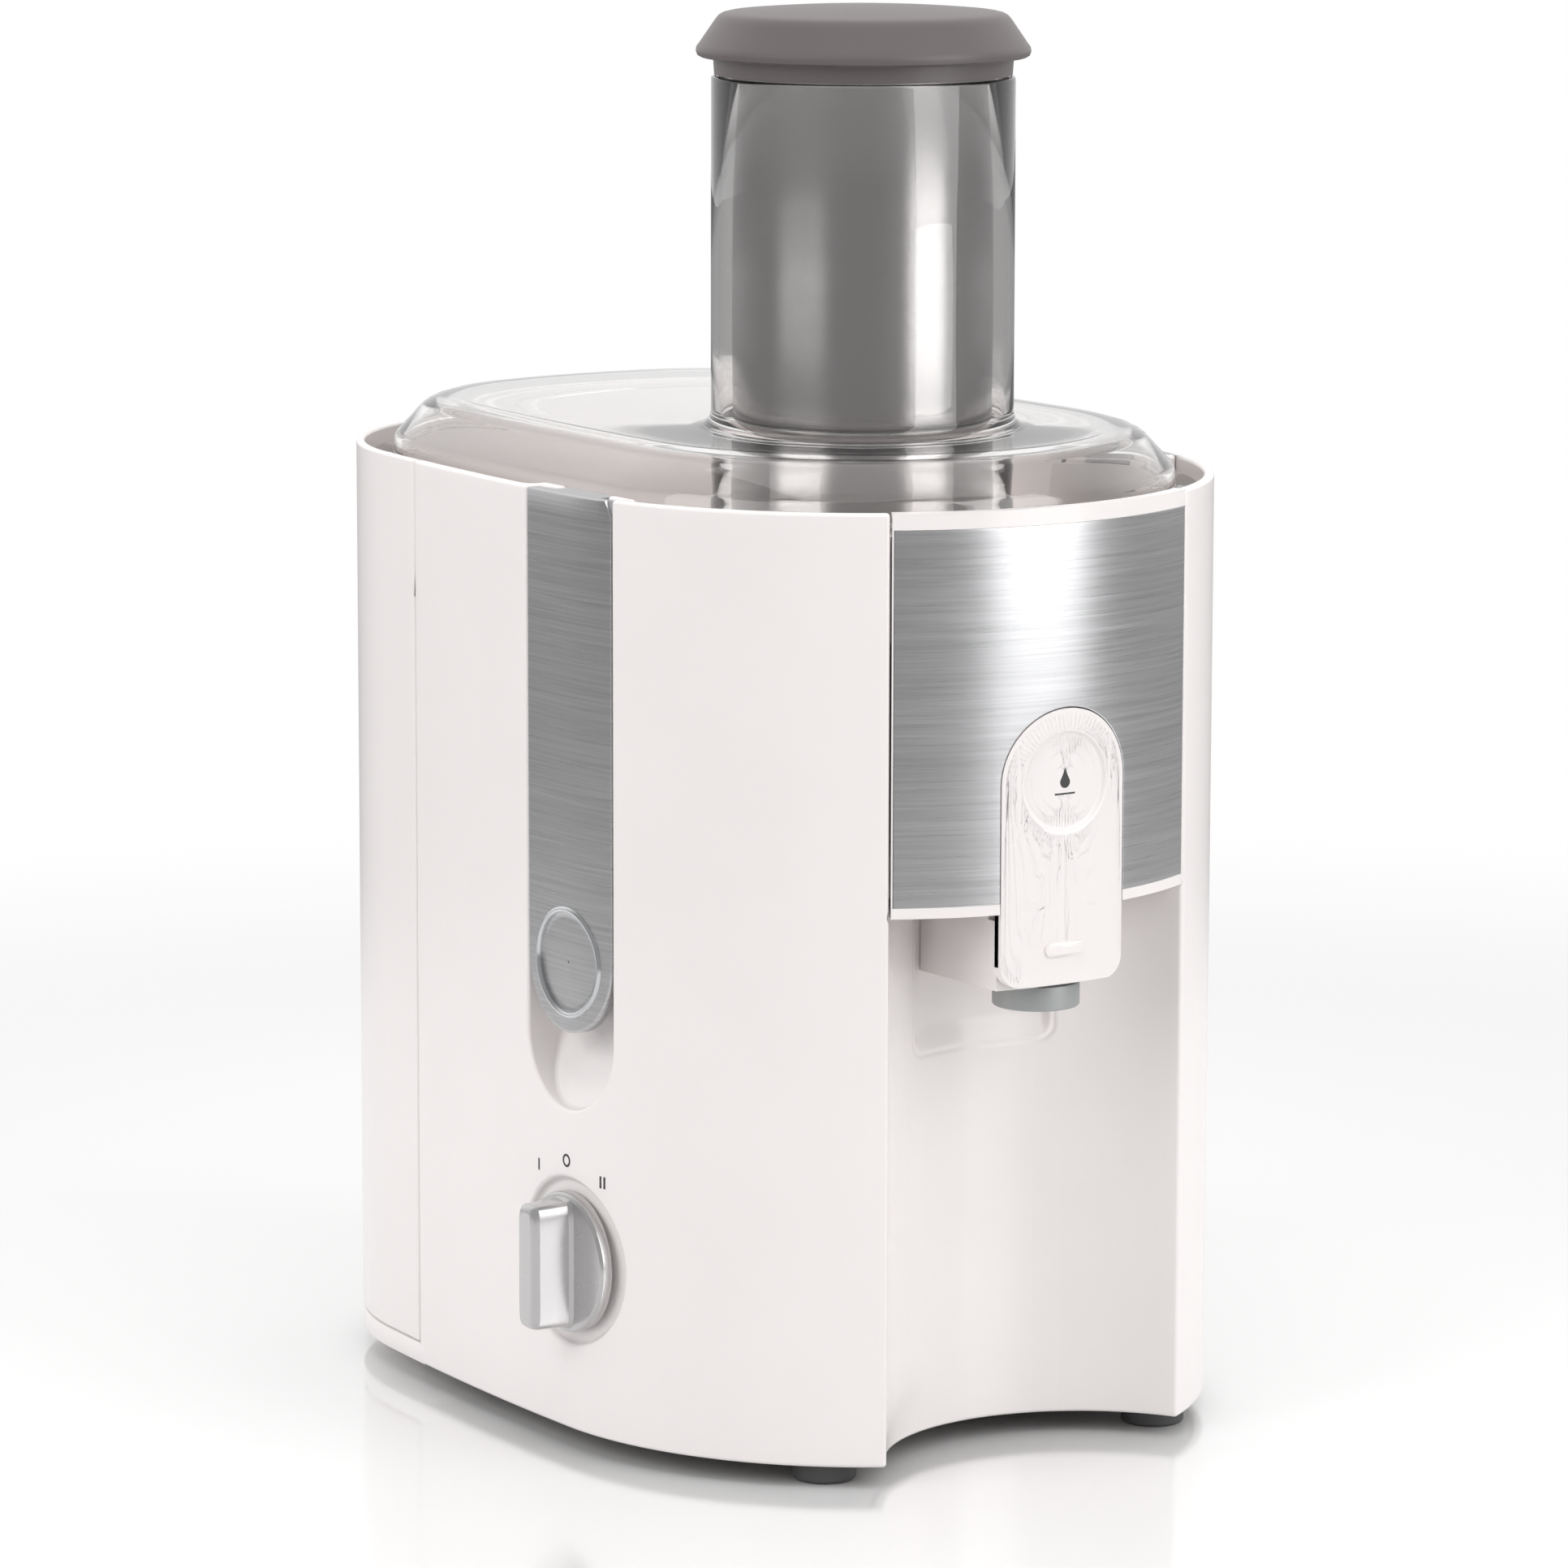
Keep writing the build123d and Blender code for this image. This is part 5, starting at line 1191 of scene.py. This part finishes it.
@dataclass
class Knob:
    """The rotary switch's knob: a round disc with a full-height grip bar, and the marks over it."""

    y: float = -0.001
    z: float = 0.0545
    disc_radius: float = 0.020
    disc_back: float = 0.098
    disc_front: float = 0.102
    bar_half: float = 0.0052
    bar_reach: float = 0.0182
    bar_power: float = 9.0
    stroke: float = 0.00035
    ink: float = 0.00008
    sunk: float = -0.0003

    def facing(self, loops: Grid) -> Grid:
        """Turns loops about +Z into loops about -X through the knob's centre."""
        return np.stack([-loops[..., 2], self.y + loops[..., 0], self.z + loops[..., 1]], axis=-1)

    def bar(self) -> Grid:
        """The grip bar's rings: a long rounded shape within the disc, which narrows towards its front."""
        turn = full_round(192)
        cosine, sine = np.abs(np.cos(turn)), np.abs(np.sin(turn))
        loops = []
        for grow, height in (
            (0.0008, 0.0995), (0.0008, 0.1015), (0.0006, 0.1022), (0.0002, 0.1027), (0.0, 0.1035),
            (-0.0003, 0.1124), (-0.0005, 0.1131), (-0.0012, 0.1139), (-0.0017, 0.1142), (-0.0030, 0.1142),
            (-0.0045, 0.1142), (-0.00515, 0.1142),
        ):
            half, reach = self.bar_half + grow, self.bar_reach + grow
            sum_of_powers = (cosine / half) ** self.bar_power + (1.0 / reach) ** self.bar_power
            radius = np.minimum(sum_of_powers ** (-1.0 / self.bar_power), reach / np.maximum(sine, 0.2))
            loops.append(ring_of(radius, height, turn))
        loops.append(np.tile(loops[-1].mean(axis=0), (len(turn), 1)))
        return self.facing(np.array(loops))

    def mark(self, name: str, outline: Grid, hole: Grid | None = None) -> None:
        """Builds one printed mark on the housing's wall.

        Args:
            name: The piece's name.
            outline: Its outline in Y and Z, as a closed loop.
            hole: The outline of its hole, with as many points.
        """
        middle = outline.mean(axis=0)
        inner = middle + 0.02 * (outline - middle) if hole is None else hole
        rings = ((outline, self.sunk), (outline, self.ink), (inner, self.ink), (inner, self.sunk))
        loops = [
            np.stack([-OUTLINE.half_width(flat[:, 0]) - rise, flat[:, 0], flat[:, 1]], axis=-1)
            for flat, rise in rings
        ]
        settle(Skin().rings(np.array(loops), closed=True).build(name, DARK_INK), "base", "black_plastic")

    def stroke_outline(self, y: float, z: float, half: float) -> Grid:
        """An upright stroke's outline about a point."""
        signs = np.array([(-1.0, -1.0), (1.0, -1.0), (1.0, 1.0), (-1.0, 1.0)])
        return np.array([y, z]) + signs * np.array([self.stroke, half])

    def make(self) -> None:
        """Builds the disc, the grip bar and the marks."""
        profile = np.concatenate([
            np.array([(AXIS, self.disc_back), (self.disc_radius - 0.0006, self.disc_back)]),
            arc((self.disc_radius - 0.0006, self.disc_back + 0.0006), 0.0006, -90.0, 0.0, 3)[1:],
            arc((self.disc_radius - 0.0012, self.disc_front - 0.0012), 0.0012, 0.0, 90.0, 5),
            np.array([(0.004, self.disc_front), (AXIS, self.disc_front)]),
        ])
        disc = Skin().rings(self.facing(turned(profile))).build("knob_disc", SILVER_PLASTIC)
        settle(disc, "knob", "silver_knob", "rotary_knob")
        settle(Skin().rings(self.bar()).build("knob_grip_bar", SILVER_PLASTIC), "knob", "silver_knob")
        shaft = turned(np.array([(AXIS, 0.0855), (0.003, 0.0855), (0.003, 0.0985), (AXIS, 0.0985)]), steps=32)
        settle(Skin().rings(self.facing(shaft)).build("knob_shaft", LEVER_PLASTIC), "knob", "silver_knob")
        self.mark("mark_one", self.stroke_outline(0.0147, 0.0796, 0.0017))
        self.mark("mark_two_first", self.stroke_outline(-0.0158, 0.0798, 0.0017))
        self.mark("mark_two_second", self.stroke_outline(-0.0174, 0.0798, 0.0017))
        turn = full_round(32)
        loop = np.stack([np.cos(turn), np.sin(turn)], axis=1)
        middle = np.array([0.0, 0.0833])
        self.mark("mark_off", middle + 0.0019 * loop, middle + 0.00125 * loop)


@dataclass
class Lid:
    """The clear lid: a flange, a bevelled crown over the whole top, and the feed chute, as one moulding."""

    flange_inset: float = 0.0042
    seat: float = 0.2658
    wall: float = 0.0025
    foot_inset: float = 0.011
    shoulder: float = 0.2735
    crown_inset: float = 0.022
    crown: float = 0.285
    chute: float = 0.043
    bore: float = 0.0408
    chute_bottom: float = 0.205
    chute_top: float = 0.384
    rim_height: float = 0.0009
    flare: float = 0.0045
    notch_x: float = 0.0896
    notch_angle: float = 14.4

    def directions(self) -> Grid:
        """The directions of the rings' points, with a close pair at each side of the clamps' notches."""
        even = np.linspace(-math.pi, math.pi, 361)[:-1]
        edges = np.radians([base + sign * self.notch_angle for base in (0.0, 180.0) for sign in (-1.0, 1.0)])
        pairs = np.concatenate([edges - 1e-4, edges + 1e-4])
        return np.unique(np.concatenate([even, np.mod(pairs + math.pi, FULL_TURN) - math.pi]))

    def outline(self, inset: float, height: float) -> Grid:
        """A ring that follows the body's outline, cut back at the clamps' notches.

        Args:
            inset: How far inside the body's outline it runs.
            height: Its height.

        Returns:
            Points of shape (directions, 3).
        """
        turn = self.directions()
        ring = OUTLINE.loop(inset, height, turn)
        reach = np.hypot(ring[:, 0], ring[:, 1])
        cut = self.notch_x / np.maximum(np.abs(np.cos(turn)), 1e-6)
        notch = np.abs(np.sin(turn)) < math.sin(math.radians(self.notch_angle))
        return ring_of(np.where(notch, np.minimum(reach, cut), reach), height, turn)

    def circle(self, radius: float, height: float) -> Grid:
        """A round ring with the outline's directions."""
        return ring_of(radius, height, self.directions())

    def crown_rings(self) -> list[Grid]:
        """The outside of the flange, the bevelled shoulder and the crown, from the flange inwards."""
        top = self.seat + self.wall
        loops = [
            self.outline(self.flange_inset, self.seat + 0.0004),
            self.outline(self.flange_inset, top - 0.0006),
            self.outline(self.flange_inset + 0.0002, top - 0.0002),
            self.outline(self.flange_inset + 0.0006, top), self.outline(self.foot_inset - 0.0008, top),
            self.outline(self.foot_inset - 0.0002, top + 0.0003), self.outline(self.foot_inset, top + 0.0010),
            self.outline(self.foot_inset, self.shoulder - 0.0012),
        ]
        slope = np.array([self.crown_inset - self.foot_inset, self.crown - self.shoulder])
        slope /= np.linalg.norm(slope)
        for near in (0.0006, 0.0012):
            height = self.shoulder + near * slope[1] - 0.0002
            loops.append(self.outline(self.foot_inset + near * slope[0], height))
        for before, after in (
            (0.004, 0.0), (0.0026, 0.0003), (0.0014, 0.0011), (0.0006, 0.0023), (0.0, 0.004),
        ):
            height = self.crown - before * slope[1] * 0.92 - 0.0002 * (before > 0.0)
            loops.append(self.outline(self.crown_inset - before * slope[0] + after, height))
        return loops + [self.outline(self.crown_inset + 0.008, self.crown)]

    def chute_rings(self) -> list[Grid]:
        """The chute's outside from its flare up to the rim, down the bore to its lower end and back up."""
        loops = []
        for share in np.radians(np.linspace(0.0, 90.0, 6)):
            radius = self.chute + self.flare * (1.0 - math.sin(share))
            loops.append(self.circle(radius, self.crown + self.flare * (1.0 - math.cos(share))))
        rim_z = self.chute_top - self.rim_height
        loops += [self.circle(self.chute, z) for z in (0.31, 0.35, rim_z)]
        rim = 0.5 * (self.chute - self.bore)
        for share in np.radians((35.0, 90.0, 145.0)):
            radius = self.bore + rim + rim * math.cos(share)
            loops.append(self.circle(radius, rim_z + self.rim_height * math.sin(share)))
        low = self.chute_bottom + 0.0005
        loops += [self.circle(self.bore, z) for z in (rim_z, 0.33, 0.27, low)]
        ends = (self.bore + 0.0005, self.chute - 0.0005)
        loops += [self.circle(radius, self.chute_bottom) for radius in ends]
        return loops + [self.circle(self.chute, z) for z in (low, 0.24, self.crown - self.wall - 0.001)]

    def under_rings(self) -> list[Grid]:
        """The underside, from the chute out to the flange."""
        under = self.crown - self.wall
        loops = [self.circle(self.chute + 0.001, under), self.circle(self.chute + 0.006, under)]
        return loops + [self.outline(inset, height) for inset, height in (
            (self.crown_inset + 0.008, under), (self.crown_inset + 0.0022, under),
            (self.crown_inset + 0.0006, under - 0.0012), (self.foot_inset + 0.0032, self.shoulder - 0.0002),
            (self.foot_inset + self.wall, self.shoulder - 0.0016), (self.foot_inset + self.wall, self.seat),
            (self.flange_inset + 0.0004, self.seat),
        )]

    def make(self) -> None:
        """Builds the lid as one closed skin of rings."""
        loops = np.array(self.crown_rings() + self.chute_rings() + self.under_rings())
        piece = Skin().rings(loops, closed=True).build("clear_lid_moulding", CLEAR_PLASTIC, sharp=48.0)
        settle(piece, "lid", "clear_lid", "lid", "feed_chute")


@dataclass
class Turned:
    """Pieces turned about upright axes: the pusher, its cap and the nozzle."""

    pusher_radius: float = 0.037
    band_radius: float = 0.0396
    pusher_bottom: float = 0.207
    collar: float = 0.3843
    nozzle_y: float = -0.086
    nozzle_radius: float = 0.0122
    nozzle_bore: float = 0.0086
    nozzle_bottom: float = 0.1315
    nozzle_top: float = 0.1385
    neck_radius: float = 0.0098
    neck_top: float = 0.1405
    cap_edge: float = 0.4017
    cap_top: float = 0.4035
    dome: float = 0.0383

    def pusher(self) -> Grid:
        """The pusher's profile, from its middle below to its middle above."""
        low = self.pusher_bottom
        return np.concatenate([
            np.array([(AXIS, low), (self.band_radius - 0.0012, low)]),
            arc((self.band_radius - 0.0012, low + 0.0012), 0.0012, -90.0, 0.0, 4)[1:],
            arc((self.band_radius - 0.0006, low + 0.0044), 0.0006, 0.0, 90.0, 3),
            np.array([(self.pusher_radius + 0.0006, low + 0.0051), (self.pusher_radius, low + 0.0058)]),
            np.array([(self.pusher_radius, z) for z in (0.25, 0.30, 0.35, self.collar)]),
            np.array([(AXIS, self.collar)]),
        ])

    def cap(self) -> Grid:
        """The cap's profile: a collar, a wide rim, a sloped shoulder and a shallow dome."""
        shoulder = np.array([
            (AXIS, 0.3803), (0.0341, 0.3803), (0.0341, 0.3843), (0.0421, 0.3843), (0.0424, 0.3887),
            (0.0428, 0.38915), (0.0461, 0.3893), (0.0469, 0.38975), (0.0473, 0.3909), (0.0471, 0.3920),
            (0.0464, 0.3929), (0.0423, 0.3989), (0.0418, 0.3996), (0.0409, 0.4007), (0.0398, 0.40135),
            (self.dome, self.cap_edge),
        ])
        radius = np.array((0.034, 0.028, 0.021, 0.014, 0.007, AXIS))
        rise = self.cap_top - (self.cap_top - self.cap_edge) * (radius / self.dome) ** 2
        return np.concatenate([shoulder, np.stack([radius, rise], axis=1)])

    def make(self) -> None:
        """Builds the pieces."""
        body = Skin().rings(turned(self.pusher(), steps=128)).build("pusher_tube", SMOKY_PLASTIC)
        settle(body, "pusher", "pusher_grey", "pusher_body")
        cap = Skin().rings(turned(self.cap(), steps=128)).build("pusher_cap_moulding", CAP_PLASTIC)
        settle(cap, "pusher", "cap_grey", "pusher_cap")
        low, high = self.nozzle_bottom, self.nozzle_top
        profile = np.concatenate([
            arc((self.nozzle_radius - 0.0008, low + 0.0008), 0.0008, -90.0, 0.0, 4),
            arc((self.nozzle_radius - 0.0004, high - 0.0004), 0.0004, 0.0, 90.0, 3),
            np.array([
                (self.neck_radius, high), (self.neck_radius, self.neck_top),
                (self.nozzle_bore, self.neck_top), (self.nozzle_bore, low + 0.0006),
                (self.nozzle_bore + 0.0006, low),
            ]),
        ])
        loops = turned(profile, (0.0, self.nozzle_y))
        nozzle = Skin().rings(loops, closed=True).build("nozzle_ring", NOZZLE_METAL)
        settle(nozzle, "collector", "nozzle_metal", "spout_nozzle")


@dataclass(frozen=True)
class Carried:
    """CAD nodes that keep their shape: each gets merged points, soft normals on its rounds, and a finish."""

    finish: Finish
    slot: str
    nodes: tuple[str, ...]

    def make(self, loaded: dict) -> None:
        """Builds a finished copy of each node.

        Args:
            loaded: What import_model returned.
        """
        groups = loaded["record"]["behaviour"]["bodies"]
        body_of = {node: body for body, members in groups.items() for node in members}
        for node in self.nodes:
            mesh = loaded["nodes"][node].data
            points = np.empty(3 * len(mesh.vertices), dtype=np.float32)
            mesh.vertices.foreach_get("co", points)
            corners = np.empty(len(mesh.loops), dtype=np.int32)
            mesh.loops.foreach_get("vertex_index", corners)
            skin = Skin([points.reshape(-1, 3)], [corners.reshape(-1, 3)], len(mesh.vertices))
            piece = skin.build(f"{node}_finished", self.finish, sharp=30.0)
            weight = piece.modifiers.new("normals", "WEIGHTED_NORMAL")
            weight.keep_sharp = True
            settle(piece, body_of[node], self.slot, node)


CARRIED = (
    Carried(INNER_WHITE, "white_plastic", (
        "motor_deck", "housing_partition", "juice_bowl", "collector_deck",
    )),
    Carried(WHITE_PLASTIC, "white_plastic", ("collector_front", "spout_cover")),
    Carried(LEVER_PLASTIC, "lever_plastic", ("clamp_lever_left", "clamp_lever_right")),
    Carried(BASE_GREY, "lever_plastic", ("base_plate",)),
    Carried(RUBBER, "rubber", ("rubber_feet", "mount_rubbers", "shaft_seal", "valve_plug")),
    Carried(STEEL_PART, "steel_part", (
        "clamp_pin_left", "clamp_pin_right", "cover_pin", "clamp_springs", "motor_shaft", "motor_bolts",
        "motor_screws", "base_screws", "grater_disc",
    )),
    Carried(DRUM_STEEL, "steel_part", ("basket_mesh",)),
    Carried(BLACK_PLASTIC, "black_plastic", (
        "cooling_fan", "rotary_switch", "lid_sensor", "board_parts", "cord_gland",
    )),
    Carried(LAMINATION, "lamination", ("stator_stack", "armature_core")),
    Carried(STEEL_PART, "lamination", ("upper_bracket", "lower_bracket")),
    Carried(COPPER, "copper", ("field_coils", "armature_windings", "commutator")),
    Carried(BRASS, "brass", ("brush_holders",)),
    Carried(CARBON, "carbon", ("carbon_brushes",)),
    Carried(BEARING_STEEL, "bearing_steel", ("upper_bearing", "lower_bearing")),
    Carried(WHITE_NYLON, "white_nylon", ("basket_base", "basket_rim", "drive_coupling")),
    Carried(BOARD_GREEN, "board_green", ("speed_board",)),
)


@dataclass(frozen=True)
class Light:
    """A soft rectangular light that faces the juicer's middle."""

    name: str
    azimuth: float
    elevation: float
    distance: float
    size: tuple[float, float]
    radiance: float
    mirrored: bool = True

    def make(self) -> None:
        """Adds the light: its power is its radiance times pi times its area."""
        turn, rise = math.radians(self.azimuth), math.radians(self.elevation)
        middle = Vector(LIGHT_AIM)
        away = Vector((math.cos(rise) * math.cos(turn), math.cos(rise) * math.sin(turn), math.sin(rise)))
        data = bpy.data.lights.new(self.name, "AREA")
        data.shape = "RECTANGLE"
        data.size, data.size_y = self.size
        data.energy = self.radiance * math.pi * self.size[0] * self.size[1]
        lamp = bpy.data.objects.new(self.name, data)
        lamp.location = middle + self.distance * away
        lamp.rotation_euler = away.to_track_quat("Z", "Y").to_euler()
        lamp.visible_glossy = self.mirrored
        bpy.context.scene.collection.objects.link(lamp)


@dataclass
class Studio:
    """A plain pale studio: a glossy white floor, a white surround, soft lights and the camera."""

    floor_half: float = 4.0
    near: float = 0.55
    far: float = 1.0
    mirror: float = 0.5
    dim: float = 0.34
    behind: float = 1.0
    lens: float = 166.26
    camera_at: Triple = (-1.160305, -1.684646, 0.525088)
    camera_axes: tuple[Triple, ...] = (
        (0.82978264, -0.55808392, 0.00176509), (0.09105808, 0.138508, 0.98616629),
        (-0.55060803, -0.81814294, 0.16574958),
    )
    rearward: Triple = (0.56, 0.83, 0.0)
    rearward_end: float = 0.6
    lights: tuple[Light, ...] = (
        Light("key_light", -68.0, 20.0, 1.0, (0.62, 0.95), 2.9),
        Light("left_light", -178.0, 22.0, 1.6, (1.3, 1.2), 2.9, mirrored=False),
        Light("top_light", -100.0, 84.0, 1.5, (1.6, 1.6), 2.0, mirrored=False),
    )

    def surroundings(self) -> None:
        """Sets the world: white where the camera sees it, and for all other rays dim, but bright behind."""
        world = bpy.data.worlds.new("studio")
        world.use_nodes = True
        tree = world.node_tree
        place = add_node(tree, "TexCoord").outputs["Generated"]
        dot = add_node(tree, "VectorMath", {0: place, 1: self.rearward}, operation="DOT_PRODUCT")
        ramp = add_node(tree, "MapRange", {
            "Value": dot.outputs["Value"], "From Min": 0.0, "From Max": self.rearward_end, "To Min": self.dim,
            "To Max": self.behind,
        }, interpolation_type="SMOOTHSTEP")
        seen = add_node(tree, "LightPath").outputs["Is Camera Ray"]
        mix = add_node(tree, "Mix", {"Factor": seen, "A": ramp.outputs["Result"], "B": 1.0})
        background = tree.nodes["Background"]
        background.inputs["Color"].default_value = WHITE
        tree.links.new(mix.outputs["Result"], background.inputs["Strength"])
        bpy.context.scene.world = world

    def floor_material(self) -> bpy.types.Material:
        """Builds the floor's finish: part white and part mirror nearby, and the surround's light far off.

        Returns:
            The material.
        """
        made = bpy.data.materials.new("studio_floor")
        made.use_nodes = True
        tree = made.node_tree
        tree.nodes.remove(tree.nodes["Principled BSDF"])
        white = add_node(tree, "BsdfDiffuse", {"Color": (0.95, 0.95, 0.95, 1.0)}).outputs["BSDF"]
        gloss = add_node(tree, "BsdfGlossy", {"Roughness": 0.09}).outputs["BSDF"]
        near = add_node(tree, "MixShader", {"Fac": self.mirror, 1: white, 2: gloss}).outputs["Shader"]
        seen = add_node(tree, "LightPath").outputs["Is Camera Ray"]
        strength = add_node(tree, "Mix", {"Factor": seen, "A": self.dim, "B": 1.0}).outputs["Result"]
        glow = add_node(tree, "Emission", {"Strength": strength}).outputs["Emission"]
        place = add_node(tree, "TexCoord").outputs["Object"]
        length = add_node(tree, "VectorMath", {0: place}, operation="LENGTH").outputs["Value"]
        sockets = {"Value": length, "From Min": self.near, "From Max": self.far}
        ramp = add_node(tree, "MapRange", sockets, interpolation_type="SMOOTHSTEP").outputs["Result"]
        whole = add_node(tree, "MixShader", {"Fac": ramp, 1: near, 2: glow}).outputs["Shader"]
        tree.links.new(whole, tree.nodes["Material Output"].inputs["Surface"])
        return made

    def floor(self) -> None:
        """Builds the floor."""
        line = np.linspace(-self.floor_half, self.floor_half, 3)
        x, y = np.meshgrid(line, line)
        grid = np.stack([x, y, np.zeros_like(x)], axis=-1)
        piece = Skin().sheet(grid, (0.0, 0.0, 1.0)).build("studio_floor", WHITE_PLASTIC, solid=False)
        piece.data.materials[0] = self.floor_material()

    def camera(self) -> None:
        """Places the camera by its three axes."""
        data = bpy.data.cameras.new("camera")
        data.lens = self.lens
        data.sensor_width = 36.0
        data.clip_start, data.clip_end = 0.05, 50.0
        viewer = bpy.data.objects.new("camera", data)
        turn = Matrix(self.camera_axes).transposed()
        viewer.matrix_world = Matrix.Translation(self.camera_at) @ turn.to_4x4()
        bpy.context.scene.collection.objects.link(viewer)
        bpy.context.scene.camera = viewer

    def make(self) -> None:
        """Builds the studio."""
        bpy.context.scene.view_settings.view_transform = "Standard"
        self.surroundings()
        self.floor()
        self.camera()
        for light in self.lights:
            light.make()


def main() -> None:
    """Builds the juicer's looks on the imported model, then the studio."""
    logging.basicConfig(level=logging.INFO, format="%(message)s")
    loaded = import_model()
    Housing().make()
    PulpContainer().make()
    FrontPanel().make()
    SpoutCover().make()
    for side in Side:
        Clamp().make(side)
    Knob().make()
    Lid().make()
    Turned().make()
    for group in CARRIED:
        group.make(loaded)
    Studio().make()


if __name__ == "__main__":
    main()
